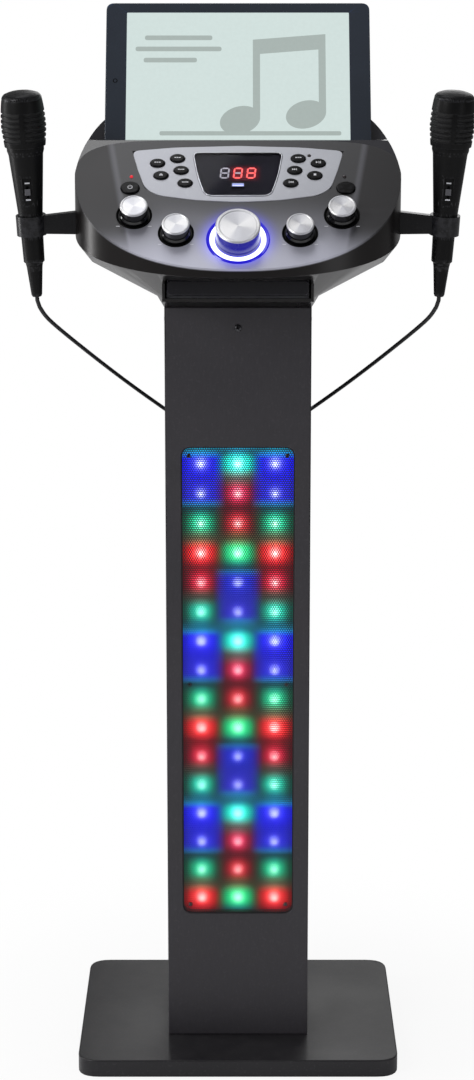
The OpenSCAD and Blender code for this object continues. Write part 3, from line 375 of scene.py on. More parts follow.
@dataclass(frozen=True)
class Finish:
    """A moulded, painted, laminated or metal finish with grain, dust and worn edges."""

    name: str
    colour: Point
    second: Point
    roughness: float = 0.4
    spread: float = 0.1
    drift: float = 14.0
    grain: float = 900.0
    lengthwise: float = 0.0
    tone: float = 0.1
    depth: float = 0.03
    fleck: float = 0.05
    fleck_colour: Point = (0.3, 0.3, 0.3)
    metallic: float = 0.0
    coat: float = 0.0
    coat_roughness: float = 0.08
    specular: float = 0.5
    dust: float = 0.05
    wear: float = 0.25
    bare: Point = (0.3, 0.3, 0.3)

    def material(self) -> bpy.types.Material:
        """Makes the material once and returns it."""
        name = f"{self.name}_finish"
        if name in bpy.data.materials:
            return bpy.data.materials[name]
        made = bpy.data.materials.new(name)
        made.use_nodes = True
        made.node_tree.nodes.clear()
        pen = Sketch(made.node_tree)
        body = pen.put("ShaderNodeBsdfPrincipled", {
            "Metallic": self.metallic, "Coat Weight": self.coat, "Coat Roughness": self.coat_roughness,
            "Specular IOR Level": self.specular})
        look = Look(body, *self.layers(pen))
        self.extra(pen, look)
        pen.tree.links.new(look.colour, body.inputs["Base Color"])
        pen.tree.links.new(look.rough, body.inputs["Roughness"])
        bump = pen.out("ShaderNodeBump", {
            "Height": look.height, "Distance": self.depth * MM, "Strength": 1.0})
        pen.tree.links.new(bump, body.inputs["Normal"])
        pen.put("ShaderNodeOutputMaterial", {0: body.outputs[0]})
        return made

    def layers(self, pen: Sketch) -> tuple:
        """Grain, dust and wear as colour, roughness and height sockets."""
        top = pen.put("ShaderNodeGroup", node_tree=surface_group())
        for key, value in {"Colour": (*self.colour, 1), "Second": (*self.second, 1), "Drift": self.drift,
                           "Grain": self.grain, "Lengthwise": self.lengthwise, "Tone": self.tone,
                           "Fleck": self.fleck, "Fleck colour": (*self.fleck_colour, 1),
                           "Roughness": self.roughness, "Spread": self.spread}.items():
            top.inputs[key].default_value = value
        worn = pen.put("ShaderNodeGroup", node_tree=wear_group())
        dusty = pen.put("ShaderNodeGroup", node_tree=dust_group())
        for a, b in ((top, worn), (worn, dusty)):
            for key in ("Colour", "Roughness"):
                pen.tree.links.new(a.outputs[key], b.inputs[key])
        worn.inputs["Amount"].default_value = self.wear
        worn.inputs["Bare colour"].default_value = (*self.bare, 1)
        dusty.inputs["Amount"].default_value = self.dust
        return dusty.outputs["Colour"], dusty.outputs["Roughness"], top.outputs["Height"]

    def extra(self, pen: Sketch, look: Look) -> None:
        """Adds what a special finish has; a plain one has nothing more."""


@dataclass(frozen=True)
class FaciaFinish(Finish):
    """Graphite face with painted light and shade: a painted sheen makes the middle below the panel silver,
    painted shade darkens the two ears with a painted highlight along their crease, and a painted blue glow of
    the ring's light lies near the ring.
    """

    # Colour of the painted sheen on the middle and of the painted highlight along the crease.
    middle: Point = ink(196, 197, 212)
    # Colour of the painted shade on the two ears.
    ear_shade: Point = ink(44, 43, 45)
    below: Point = ink(20, 16, 16)
    glow: Point = (0.05, 0.04, 1.0)
    crease_x: float = 97.0
    crease_lean: float = 0.16

    def extra(self, pen: Sketch, look: Look) -> None:
        """Adds the painted sheen on the middle, the painted shade on the ears, the painted highlight along
        their crease and the ring's painted glow.
        """
        at = pen.local(on_face(0, 0))
        x, s = pen.sum("ABSOLUTE", at.outputs[0]), at.outputs[1]
        crease = pen.less(x, pen.sum("MULTIPLY_ADD", s, self.crease_lean, self.crease_x))
        # Painted shade: past the crease the ears darken, as where the face turns away from the light.
        side = pen.times(pen.span(crease, -1.5, 2.5), pen.span(s, 15, 55, 0.0, 0.9))
        # Painted highlight: a faint light line along the crease of each ear.
        line = pen.times(pen.span(pen.sum("ABSOLUTE", crease), 5.0, 0.5), pen.span(s, 20, 60))
        on_top = pen.span(at.outputs[2], -2.2, -0.8)
        # Painted sheen: the middle turns silver towards the front lip and towards the centre.
        low = pen.sum("POWER", pen.span(s, 104, 2), 1.6)
        light = pen.times(pen.times(low, on_top), pen.span(x, 150, 70, 0.35, 1.0))
        colour = pen.blend(light, look.colour, (*self.middle, 1))
        colour = pen.blend(side, colour, (*self.ear_shade, 1))
        colour = pen.blend(pen.times(line, 0.1), colour, (*self.middle, 1))
        look.colour = pen.blend(on_top, (*self.below, 1), colour)
        look.rough = pen.out("ShaderNodeMix", {0: on_top, 2: 0.3, 3: look.rough})
        # Painted glow: the ring's blue light on the face round the dial.
        dial = pen.local(on_face(*DIAL))
        near = pen.span(pen.length(*dial.outputs[:2]), 48, 26, smooth=False)
        halo = pen.times(pen.sum("POWER", near, 3.0), on_top)
        pen.shine(look.body, pen.blend(halo, (0, 0, 0, 1), (*self.glow, 1)), 0.8)


@dataclass(frozen=True)
class SpunFinish(Finish):
    """Spun aluminium with fine turned rings, and a painted highlight in light and dark wedges."""

    def extra(self, pen: Sketch, look: Look) -> None:
        """Adds the turned rings, the painted highlight wedges and a tangent that follows the rings."""
        uv = pen.out("ShaderNodeUVMap", uv_map="UVMap")
        around, outward = pen.put("ShaderNodeSeparateXYZ", {0: uv}).outputs[:2]
        along = pen.times(outward, 6.0)
        rings = pen.out("ShaderNodeTexNoise", {"W": along, "Scale": 1.0, "Detail": 3.0},
                        noise_dimensions="1D")
        # Painted highlight: light and dark wedges round the centre, as light catches spun metal.
        broad = pen.sum("SINE", pen.sum("MULTIPLY_ADD", around, 2 * math.tau, 0.9))
        narrow = pen.sum("SINE", pen.sum("MULTIPLY_ADD", around, 5 * math.tau, 0.3))
        wedge_highlight = pen.sum("MULTIPLY_ADD", narrow, 0.3, broad)
        colour = pen.blend(pen.span(wedge_highlight, -0.8, 0.9), look.colour, (0.98, 0.98, 1.0, 1))
        look.colour = pen.blend(pen.span(rings, 0.3, 0.7, 0.0, 0.2), colour, (0.3, 0.3, 0.32, 1))
        look.height = rings
        look.body.inputs["Anisotropic"].default_value = 0.75
        tangent = pen.put("ShaderNodeTangent", direction_type="UV_MAP", uv_map="UVMap")
        pen.tree.links.new(tangent.outputs[0], look.body.inputs["Tangent"])


@dataclass(frozen=True)
class GlowFinish(Finish):
    """A finish that also gives off a steady colour, dimmer in patches."""

    light: Point = (1.0, 1.0, 1.0)
    strength: float = 1.0
    unevenness: float = 0.03

    def extra(self, pen: Sketch, look: Look) -> None:
        """Adds the light."""
        patch = pen.out("ShaderNodeTexNoise", {"Vector": pen.where(), "Scale": 300.0})
        dim = pen.span(patch, 0.2, 0.8, 1.0 - self.unevenness, 1.0)
        grey = pen.out("ShaderNodeCombineColor", {0: dim, 1: dim, 2: dim})
        pen.shine(look.body, pen.blend(1.0, (*self.light, 1), grey, "MULTIPLY"), self.strength)


class Lamp(Enum):
    """Colours that a lamp of the light window shows, with how bright it is."""

    BLUE = (0.003, 0.002, 0.72, 1.0)
    SOFT_BLUE = (0.015, 0.015, 0.72, 0.8)
    CYAN = (0.0, 0.8, 0.66, 1.0)
    PINK = (0.85, 0.008, 0.1, 0.76)
    GREEN = (0.015, 0.8, 0.4, 0.74)
    SCARLET = (0.85, 0.02, 0.04, 0.72)
    RED = (0.85, 0.003, 0.008, 1.0)
    LEAF = (0.005, 0.7, 0.24, 0.98)
    CRIMSON = (0.85, 0.0, 0.05, 0.75)
    DIM_BLUE = (0.01, 0.02, 0.72, 0.74)
    TEAL = (0.01, 0.8, 0.56, 0.74)
    VIOLET = (0.03, 0.03, 0.72, 0.72)


SIDE_LAMPS = (Lamp.BLUE, Lamp.SOFT_BLUE, Lamp.GREEN, Lamp.RED, Lamp.CRIMSON, Lamp.TEAL)
MIDDLE_LAMPS = (Lamp.CYAN, Lamp.PINK, Lamp.SCARLET, Lamp.LEAF, Lamp.DIM_BLUE, Lamp.VIOLET)


def lamp_group() -> Tree:
    """Group for the colours that three columns of lamps throw round themselves."""
    def write(pen: Sketch, given: Node) -> dict[str, Socket]:
        """Writes the nodes of the group."""
        get = given.outputs
        at = pen.put("ShaderNodeSeparateXYZ", {0: pen.where()})
        x = pen.sum("ABSOLUTE", pen.times(at.outputs[0], 1 / MM))
        drop = pen.less(get["Top"], pen.times(at.outputs[2], 1 / MM))
        cycle = len(SIDE_LAMPS)
        row = pen.plus(pen.sum("DIVIDE", drop, get["Row pitch"]), 2 * cycle + 0.5)
        along = pen.sum("FRACT", pen.sum("DIVIDE", row, cycle))
        dz = pen.times(pen.less(pen.sum("FRACT", row), 0.5), get["Row pitch"])
        held = 0.12
        colour = (0.0, 0.0, 0.0, 1.0)
        for lamps, middle in ((SIDE_LAMPS, get["Column pitch"]), (MIDDLE_LAMPS, 0.0)):
            between = tuple((a + b) / 2 for a, b in zip(lamps[0].value, lamps[-1].value))
            stops = [(0.0, between)]
            for k, lamp in enumerate(lamps):
                stops += [((k + 0.5 - held) / cycle, lamp.value), ((k + 0.5 + held) / cycle, lamp.value)]
            tint, power = pen.ramp(along, [*stops, (1.0, between)], "EASE").outputs[:2]
            dx = pen.sum("ABSOLUTE", pen.less(x, middle))
            d2 = pen.plus(pen.times(dx, dx), pen.times(dz, dz))
            reach = pen.sum("MULTIPLY_ADD", power, get["Halo"], 2.0)
            spread = pen.times(pen.times(reach, reach), -1.0)
            halo = pen.sum("EXPONENT", pen.sum("DIVIDE", d2, spread))
            parts = pen.put("ShaderNodeSeparateColor", {0: tint})
            bluish = pen.span(pen.less(parts.outputs[2], parts.outputs[1]), 0.1, 0.6)
            rest = pen.sum("MULTIPLY_ADD", bluish, 0.42, 0.05)
            level = pen.plus(halo, pen.times(pen.less(1.0, halo), rest))
            level = pen.times(level, pen.span(dx, 26, 11))
            level = pen.times(level, pen.sum("POWER", power, 1.5))
            star = pen.times(pen.sum("MULTIPLY_ADD", power, get["Core"], 0.3), -1.0)
            core = pen.sum("EXPONENT", pen.sum("DIVIDE", pen.sum("SQRT", d2), star))
            core = pen.times(core, pen.times(power, 0.95))
            grey = pen.out("ShaderNodeCombineColor", {0: level, 1: level, 2: level})
            colour = pen.blend(1.0, colour, pen.blend(1.0, tint, grey, "MULTIPLY"), "ADD")
            colour = pen.blend(core, colour, (0.9, 1, 0.95, 1), "ADD")
        return {"Colour": colour}
    return shader_group("lamps", {"Top": 613.5, "Row pitch": 30.0, "Column pitch": 36.5, "Halo": 9.5,
                                  "Core": 2.0}, {"Colour": "Color"}, write)


@dataclass(frozen=True)
class LampFinish(Finish):
    """A surface lit by the lamps of the window."""

    strength: float = 4.6
    core: float = 1.9

    def extra(self, pen: Sketch, look: Look) -> None:
        """Adds the lamps' light."""
        glow = pen.put("ShaderNodeGroup", node_tree=lamp_group())
        glow.inputs["Core"].default_value = self.core
        pen.shine(look.body, glow.outputs["Colour"], self.strength)


@dataclass(frozen=True)
class HaloFinish(Finish):
    """Plate behind the digits, with a painted red glow round the two that are lit."""

    def extra(self, pen: Sketch, look: Look) -> None:
        """Adds the painted red glow of the lit digits."""
        at = pen.local(on_face(*LIT_DIGITS))
        across = pen.span(pen.sum("ABSOLUTE", at.outputs[0]), 17, 8)
        up = pen.span(pen.sum("ABSOLUTE", at.outputs[1]), 11.5, 4)
        # Painted glow: red light from the lit digits on the plate round them.
        halo = pen.blend(pen.times(across, up), (0, 0, 0, 1), (0.5, 0.01, 0.02, 1))
        pen.shine(look.body, halo, 0.8)


@dataclass(frozen=True)
class WireFinish(Finish):
    """Wire woven on the slant, from the piece's own map in millimetres."""

    pitch: float = 2.04

    def extra(self, pen: Sketch, look: Look) -> None:
        """Adds the weave."""
        uv = pen.out("ShaderNodeUVMap", uv_map="UVMap")
        x, y = pen.put("ShaderNodeSeparateXYZ", {0: uv}).outputs[:2]
        waves = []
        for way in (1.0, -1.0):
            run = pen.times(pen.sum("MULTIPLY_ADD", y, way, x), math.pi / self.pitch)
            waves.append(pen.sum("ABSOLUTE", pen.sum("SINE", run)))
        wires = pen.span(pen.times(waves[0], waves[1]), 0.55, 0.2)
        look.colour = pen.blend(wires, (0.004, 0.004, 0.0045, 1), look.colour)
        look.height = pen.sum("MULTIPLY_ADD", look.height, 0.1, wires)


@dataclass(frozen=True)
class GlassFinish(Finish):
    """Smoked clear plastic with fine scratches."""

    def extra(self, pen: Sketch, look: Look) -> None:
        """Makes the body clear."""
        look.body.inputs["Transmission Weight"].default_value = 1.0
        look.body.inputs["IOR"].default_value = 1.16


class Finishes:
    """Every finish of the machine."""

    laminate = Finish("column_laminate", ink(46, 44, 49), ink(52, 50, 55), 0.46, 0.12, 6, 700, 1.0, 0.12,
                      0.05, 0.10, ink(92, 90, 95), coat=0.08, coat_roughness=0.3, dust=0.05,
                      bare=ink(110, 104, 100), wear=0.0)
    base = Finish("base_laminate", ink(33, 32, 35), ink(38, 37, 40), 0.4, 0.1, 8, 700, 0.0, 0.1, 0.03,
                  0.12, ink(96, 95, 98), coat=0.12, coat_roughness=0.16, dust=0.02,
                  bare=ink(120, 116, 112), specular=0.35)
    zinc = Finish("black_zinc", ink(40, 40, 43), ink(58, 58, 62), 0.36, 0.15, 90, 2500, 0, 0.1, 0.01,
                  metallic=0.9, bare=ink(160, 160, 165))
    sheet = Finish("grille_sheet", ink(20, 20, 23), ink(26, 26, 29), 0.55, 0.12, 30, 2200, 0, 0.1, 0.02,
                   specular=0.5, dust=0.0, wear=0.0, bare=ink(80, 80, 85))
    board = LampFinish("lamp_board", ink(30, 32, 34), ink(24, 27, 28), 0.5, dust=0.0)
    lens = LampFinish("lamp_lens", ink(190, 195, 205), ink(170, 176, 190), 0.25, dust=0.0, wear=0.0,
                      strength=4.4, core=2.0)
    fibre = Finish("raw_fibreboard", ink(150, 128, 98), ink(132, 110, 82), 0.85, 0.08, 40, 1400, 0, 0.3,
                   0.15, 0.4, ink(176, 156, 124), wear=0.1)
    cone = Finish("paper_cone", ink(40, 40, 43), ink(30, 30, 33), 0.8, 0.1, 60, 1800, 0, 0.3, 0.12)
    skirt = Finish("skirt_gloss", ink(22, 20, 21), ink(18, 17, 18), 0.28, 0.06, 9, 1200, 0, 0.06, 0.012,
                   0.03, coat=0.4, coat_roughness=0.12, dust=0.0, bare=ink(90, 84, 82), specular=0.35)
    facia = FaciaFinish("face_graphite", ink(66, 66, 68), ink(72, 72, 75), 0.42, 0.06, 5, 2600, 0, 0.05,
                        0.01, 0.10, ink(110, 110, 115), metallic=0.4, coat=0.2, coat_roughness=0.25,
                        dust=0.0, wear=0.3, bare=ink(190, 190, 196))
    rear = Finish("rear_gloss", ink(52, 52, 57), ink(46, 46, 51), 0.18, 0.05, 8, 1500, 0, 0.04, 0.006,
                  0.03, coat=0.6, coat_roughness=0.06, dust=0.02, bare=ink(120, 120, 128))
    silver = Finish("panel_silver", ink(178, 180, 188), ink(190, 192, 200), 0.42, 0.05, 6, 2800, 0, 0.04,
                    0.008, 0.12, ink(205, 206, 212), metallic=0.5, dust=0.0, wear=0.1,
                    bare=ink(220, 220, 226))
    smoke = GlassFinish("smoked_window", ink(158, 158, 166), ink(150, 150, 158), 0.04, 0.02, 20, 1500, 0,
                        0.02, 0.001, 0.0, dust=0.0, wear=0.0, specular=0.15)
    backing = HaloFinish("window_backing", ink(86, 85, 93), ink(92, 91, 99), 0.5, 0.1, 30, 1500, dust=0.0)
    segment = GlowFinish("lit_segment", ink(220, 60, 50), ink(200, 40, 40), 0.3, dust=0.0,
                         light=(1.0, 0.14, 0.12), strength=5.0)
    # Painted glow: the unlit segments give off a pale light though they are not lit.
    unlit_segment_glow = GlowFinish("unlit_segment", ink(200, 200, 206), ink(190, 190, 196), 0.5, dust=0.0,
                              light=(0.62, 0.6, 0.62), strength=2.2)
    chrome = Finish("bright_chrome", ink(200, 202, 210), ink(186, 188, 196), 0.12, 0.08, 60, 2400, 0,
                    0.05, 0.004, metallic=1.0, dust=0.02, bare=ink(235, 235, 240))
    # The tongue's pale blue colour is its own; the light it gives off is a painted glow, since it is no lamp.
    tongue = GlowFinish("socket_tongue", ink(200, 208, 250), ink(180, 190, 245), 0.4, dust=0.0,
                        light=(0.55, 0.6, 1.0), strength=0.9)
    ring = GlowFinish("ring_light", ink(240, 244, 255), ink(230, 236, 255), 0.4, dust=0.0, wear=0.0,
                      light=(0.9, 0.93, 1.0), strength=1.6)
    gloss = Finish("black_gloss", ink(4, 4, 5), ink(6, 6, 7), 0.32, 0.08, 30, 2000, 0, 0.04, 0.004, 0.02,
                   coat=0.04, coat_roughness=0.06, specular=0.14, dust=0.0, bare=ink(60, 60, 64))
    red_lamp = GlowFinish("red_lamp", ink(190, 40, 44), ink(160, 30, 34), 0.2, dust=0.0,
                          light=(0.8, 0.03, 0.05), strength=0.6)
    dark_lamp = Finish("dark_lamp", ink(36, 22, 26), ink(26, 16, 20), 0.12, dust=0.0, coat=0.8)
    circuit = Finish("circuit_green", ink(38, 92, 62), ink(30, 76, 52), 0.4, 0.1, 80, 1600, 0, 0.2, 0.03,
                     0.3, ink(150, 150, 120))
    satin = Finish("satin_black", ink(28, 28, 31), ink(34, 34, 37), 0.42, 0.1, 26, 1700, 0, 0.1, 0.02,
                   0.06, ink(80, 80, 84), coat=0.15, coat_roughness=0.3, bare=ink(84, 84, 88))
    mould = Finish("moulded_grey", ink(96, 97, 102), ink(88, 88, 94), 0.5, 0.1, 30, 1500, 0, 0.12, 0.03)
    acetal = Finish("white_acetal", ink(228, 225, 214), ink(216, 212, 200), 0.42, 0.1, 40, 1400, 0, 0.05,
                    0.02, bare=ink(240, 238, 230))
    tray = Finish("tray_grey", ink(56, 56, 60), ink(64, 64, 68), 0.45, 0.1, 26, 1500, 0, 0.1, 0.025)
    turned = Finish("turned_steel", ink(180, 180, 184), ink(160, 160, 166), 0.28, 0.1, 80, 2600, 0, 0.1,
                    0.006, metallic=1.0)
    spun = SpunFinish("spun_aluminium", ink(212, 213, 220), ink(222, 223, 230), 0.32, 0.05, 60, 2600, 0,
                      0.05, 0.02, 0.0, metallic=0.6, dust=0.0, wear=0.0)
    knob_side = Finish("knob_side", ink(17, 17, 19), ink(22, 22, 25), 0.16, 0.08, 60, 1800, 0, 0.06,
                       0.006, coat=0.6, coat_roughness=0.08, dust=0.0, bare=ink(70, 70, 74))
    # Painted glow: the main knob's bluish colour and the light it gives off stand for the ring's light on its
    # side.
    painted_glow_side = GlowFinish("knob_side_painted_glow", ink(30, 30, 60), ink(24, 24, 48), 0.2, dust=0.0,
                           light=(0.004, 0.002, 0.3), strength=0.8)
    microphone = Finish("microphone_black", ink(8, 8, 9), ink(12, 12, 13), 0.46, 0.08, 20, 1500, 0, 0.08,
                        0.015, 0.05, ink(72, 72, 76), coat=0.04, coat_roughness=0.25, dust=0.0,
                        bare=ink(96, 96, 100), specular=0.16)
    print_white = Finish("white_print", ink(205, 206, 212), ink(190, 192, 198), 0.5, 0.05, 40, 1500,
                         dust=0.0)
    print_grey = Finish("grey_print", ink(226, 227, 233), ink(214, 215, 221), 0.5, 0.05, 40, 1500,
                        dust=0.0)
    slider = Finish("slider_grey", ink(88, 88, 93), ink(76, 76, 82), 0.45, 0.1, 50, 1500)
    case = Finish("tablet_case", ink(44, 51, 62), ink(38, 44, 55), 0.22, 0.06, 12, 1800, 0, 0.05, 0.005,
                  0.03, coat=0.6, coat_roughness=0.06, dust=0.03, bare=ink(110, 116, 126))
    screen = GlowFinish("tablet_screen", ink(60, 64, 64), ink(56, 60, 60), 0.12, 0.02, 10, 1500, 0, 0.02,
                        0.001, 0.0, dust=0.0, wear=0.0, light=ink(214, 229, 226), strength=0.92)
    screen_grey = GlowFinish("screen_grey", ink(50, 52, 52), ink(46, 48, 48), 0.2, dust=0.0, wear=0.0,
                             light=ink(172, 184, 180), strength=0.92)
    # Painted glow: the black rim round the ring lit blue by the ring's light.
    rim_painted_glow = GlowFinish("ring_rim_painted_glow", ink(16, 16, 22), ink(20, 20, 28), 0.16, dust=0.0, coat=0.5,
                          light=(0.02, 0.01, 0.9), strength=0.7)
    door = Finish("door_black", ink(9, 8, 16), ink(13, 12, 19), 0.2, 0.08, 20, 1800, 0, 0.08, 0.006, 0.03,
                  coat=0.25, coat_roughness=0.1, dust=0.0, bare=ink(60, 58, 68), specular=0.3)
    liner = WireFinish("grille_liner", ink(15, 15, 16), ink(20, 20, 22), 0.7, 0.1, 90, 2600, 0, 0.2, 0.1,
                       dust=0.0, wear=0.0)
    woven = WireFinish("woven_wire", ink(40, 40, 43), ink(48, 48, 52), 0.36, 0.1, 60, 2600, 0, 0.1, 0.25,
                       metallic=0.6, dust=0.0, wear=0.0)
    holder = Finish("holder_black", ink(13, 13, 15), ink(16, 16, 19), 0.34, 0.08, 26, 1500, 0, 0.08,
                    0.015, 0.04, coat=0.1, coat_roughness=0.2, dust=0.0, bare=ink(70, 70, 76),
                    specular=0.3)
    bezel = Finish("tablet_bezel", ink(42, 48, 58), ink(46, 53, 64), 0.1, 0.04, 10, 1800, 0, 0.03, 0.002,
                   0.02, coat=0.8, coat_roughness=0.03, dust=0.0, bare=ink(60, 90, 140))
    rubber = Finish("lead_rubber", ink(24, 24, 26), ink(30, 30, 32), 0.5, 0.08, 40, 1600, 0, 0.1, 0.02,
                    0.05, ink(70, 70, 72), dust=0.04, bare=ink(70, 70, 72))


# Pieces

class Workpiece:
    """One piece of the object, built in millimetres and then finished."""

    def __init__(self, name: str) -> None:
        """Starts an empty piece of that name."""
        self.name = name
        self.bm = bmesh.new()
        self.uv = self.bm.loops.layers.uv.new("UVMap")

    def lathe(self, profile: Sequence[Point], place: Matrix = Matrix(), steps: int = 64, part: int = 0,
              sweep: float = 360.0) -> "Workpiece":
        """Turns a profile about Z.

        Args:
            profile: Points of radius and height, from the foot up.
            place: Where the shape goes.
            steps: Facets round.
            part: Number of the finish.
            sweep: Degrees turned; less than 360 leaves the ends open.

        Returns:
            This piece.
        """
        bm, rings = self.bm, []
        whole = sweep >= 360
        count = steps if whole else steps + 1
        for p in profile:
            if p[0] < 1e-6:
                rings.append([bm.verts.new(place @ Vector((0, 0, p[1])))] * count)
                continue
            rings.append([bm.verts.new(place @ Vector((p[0] * math.cos(a), p[0] * math.sin(a), p[1])))
                          for a in (math.radians(sweep) * i / steps for i in range(count))])
        far = [0.0]
        for a, b in zip(profile, profile[1:]):
            far.append(far[-1] + math.hypot(b[0] - a[0], b[1] - a[1]))
        for k in range(len(rings) - 1):
            for i in range(steps):
                j = (i + 1) % count
                ring = (rings[k][i], rings[k][j], rings[k + 1][j], rings[k + 1][i])
                spots = ((i, k), (i + 1, k), (i + 1, k + 1), (i, k + 1))
                corners, marks = [], []
                for v, spot in zip(ring, spots):
                    if v not in corners:
                        corners.append(v)
                        marks.append(spot)
                if len(corners) < 3:
                    continue
                face = bm.faces.new(corners)
                face.material_index = part
                for loop, (u, v) in zip(face.loops, marks):
                    loop[self.uv].uv = (u / steps, far[v])
        if not whole:
            rim = {e for ring in rings for v in (ring[0], ring[-1]) for e in v.link_edges if e.is_boundary}
            bmesh.ops.holes_fill(bm, edges=list(rim), sides=0)
        return self

    def planar(self, place: Matrix) -> "Workpiece":
        """Gives every face a map that follows X and Y of a place, in millimetres."""
        inner = place.inverted()
        for face in self.bm.faces:
            for loop in face.loops:
                loop[self.uv].uv = (inner @ loop.vert.co).xy
        return self

    def slab(self, outline: Sequence[Point], z0: float, z1: float, place: Matrix = Matrix(),
             rim: float = 0.0, holes: Sequence[Sequence[Point]] = (), foot: float = 0.0) -> "Workpiece":
        """Makes a plate from an outline, its front edge rounded.

        Args:
            outline: Outer line in the plate's plane.
            z0: Back face.
            z1: Front face.
            place: Where the shape goes.
            rim: Rounding of the front edges.
            holes: Inner lines.
            foot: Rounding of the back edges.

        Returns:
            This piece.
        """
        bm = self.bm
        steps = [(0.0, z0)]
        if foot:
            steps = [(foot * (1 - math.sin(math.radians(a))), z0 + foot * (1 - math.cos(math.radians(a))))
                     for a in (0, 30, 60, 90)]
        if rim:
            steps += [(rim * (1 - math.cos(math.radians(a))), z1 - rim * (1 - math.sin(math.radians(a))))
                      for a in (0, 30, 60, 90)]
        else:
            steps.append((0.0, z1))
        caps: list[list] = [[], []]
        for number, line in enumerate([outline, *holes]):
            pts = [Vector(p) for p in line]
            if anticlockwise(pts) != (number == 0):
                pts.reverse()
            rings = []
            for inset, z in steps:
                ring = drawn_in(pts, inset) if inset > 1e-9 else pts
                rings.append([bm.verts.new((p.x, p.y, z)) for p in ring])
            for low, high in zip(rings, rings[1:]):
                for i in range(len(pts)):
                    j = (i + 1) % len(pts)
                    bm.faces.new((low[i], low[j], high[j], high[i]))
            for cap, ring in zip(caps, (rings[0], rings[-1])):
                cap += [bm.edges.get((ring[i], ring[(i + 1) % len(ring)])) for i in range(len(ring))]
        touched = set()
        for cap in caps:
            bmesh.ops.triangle_fill(bm, edges=cap, use_beauty=True)
            touched.update(v for e in cap for v in e.verts)
        shell = self._linked(touched)
        for v in shell:
            v.co = place @ v.co
        faces = {f for v in shell for f in v.link_faces}
        bmesh.ops.recalc_face_normals(bm, faces=list(faces))
        for f in faces:
            for loop in f.loops:
                loop[self.uv].uv = (loop.vert.co.x, loop.vert.co.z)
        return self

    @staticmethod
    def on_rounding(face: bmesh.types.BMFace) -> bool:
        """Whether a face is a narrow strip of a rounded outer edge."""
        if 2 * face.calc_area() > 1.3 * max(e.calc_length() for e in face.edges):
            return False
        return any(0.08 < e.calc_face_angle_signed(0) < 1.2 for e in face.edges if len(e.link_faces) == 2)

    @staticmethod
    def _linked(start: set) -> set:
        """Every vertex joined to the start ones."""
        seen, todo = set(start), list(start)
        while todo:
            for e in todo.pop().link_edges:
                for v in e.verts:
                    if v not in seen:
                        seen.add(v)
                        todo.append(v)
        return seen

    def copy_node(self, node: str, edge: float = 0.0,
                  pick: Callable[[bmesh.types.BMEdge], bool] | None = None,
                  sharp: float = 30.0) -> "Workpiece":
        """Takes a merged copy of a CAD node and rounds its edges.

        Args:
            node: Name of the CAD node.
            edge: Rounding of the sharp edges.
            pick: Says whether one edge is rounded; all are if left out.
            sharp: Angle in degrees from which an edge counts as sharp.

        Returns:
            This piece.
        """
        extra = bmesh.new()
        extra.from_mesh(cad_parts[node].data)
        for v in extra.verts:
            v.co /= MM
        bmesh.ops.remove_doubles(extra, verts=extra.verts, dist=0.002)
        bmesh.ops.dissolve_limit(extra, angle_limit=math.radians(0.4), verts=extra.verts, edges=extra.edges)
        if edge:
            limit = math.radians(sharp)
            chosen = [e for e in extra.edges if len(e.link_faces) == 2 and e.calc_face_angle(0) > limit
                      and (pick is None or pick(e))]
            bmesh.ops.bevel(extra, geom=chosen, offset=edge, segments=3, profile=0.5, affect="EDGES",
                            clamp_overlap=True)
        for f in extra.faces:
            f.material_index = 0
        holder = bpy.data.meshes.new("holder")
        extra.to_mesh(holder)
        extra.free()
        self.bm.from_mesh(holder)
        bpy.data.meshes.remove(holder)
        self.uv = self.bm.loops.layers.uv["UVMap"]
        return self

    def add_mesh(self, mesh: bpy.types.Mesh, place: Matrix) -> "Workpiece":
        """Adds a finished mesh in millimetres at a place."""
        copied = mesh.copy()
        copied.transform(place)
        self.bm.from_mesh(copied)
        bpy.data.meshes.remove(copied)
        self.uv = self.bm.loops.layers.uv["UVMap"]
        return self

    def done(self, body: str, finishes: Finish | Sequence[Finish], slot: str = "",
             replaces: Sequence[str] = (), sharp: float = 32.0) -> bpy.types.Object:
        """Finishes the piece and fixes it to its body.

        Args:
            body: CAD body that carries it.
            finishes: Finish of each part number.
            slot: Name of the material slot that the piece belongs to; not used.
            replaces: CAD nodes that it stands for.
            sharp: Angle from which an edge stays sharp.

        Returns:
            The object.
        """
        narrow = [float(self.on_rounding(f)) for f in self.bm.faces for _ in f.loops]
        for v in self.bm.verts:
            v.co *= MM
        mesh = bpy.data.meshes.new(self.name)
        self.bm.to_mesh(mesh)
        self.bm.free()
        for f in mesh.polygons:
            f.use_smooth = True
        mesh.set_sharp_from_angle(angle=math.radians(sharp))
        rubbed = mesh.attributes.new("rubbed", "FLOAT", "CORNER")
        rubbed.data.foreach_set("value", narrow)
        made = bpy.data.objects.new(self.name, mesh)
        bpy.context.scene.collection.objects.link(made)
        for finish in finishes if isinstance(finishes, (list, tuple)) else [finishes]:
            mesh.materials.append(finish.material())
        even = made.modifiers.new("even", "WEIGHTED_NORMAL")
        even.keep_sharp = True
        settled = bpy.data.meshes.new_from_object(made.evaluated_get(bpy.context.evaluated_depsgraph_get()))
        made.modifiers.clear()
        made.data = settled
        settled.name = self.name
        bpy.data.meshes.remove(mesh)
        fix(made, body, replaces)
        return made


def fix(piece: bpy.types.Object, body: str, replaces: Sequence[str] = ()) -> None:
    """Fixes a piece to its body and the nodes that it stands for."""
    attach(piece, body)
    if replaces:
        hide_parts(*replaces)
    log.info("%s on %s", piece.name, body)


def dress_node(node: str, finish: Finish) -> None:
    """Gives a CAD node that stays its material."""
    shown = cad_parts[node]
    shown.data.materials.clear()
    shown.data.materials.append(finish.material())
    log.info("%s keeps its CAD shape", node)


# What repeats, by geometry nodes

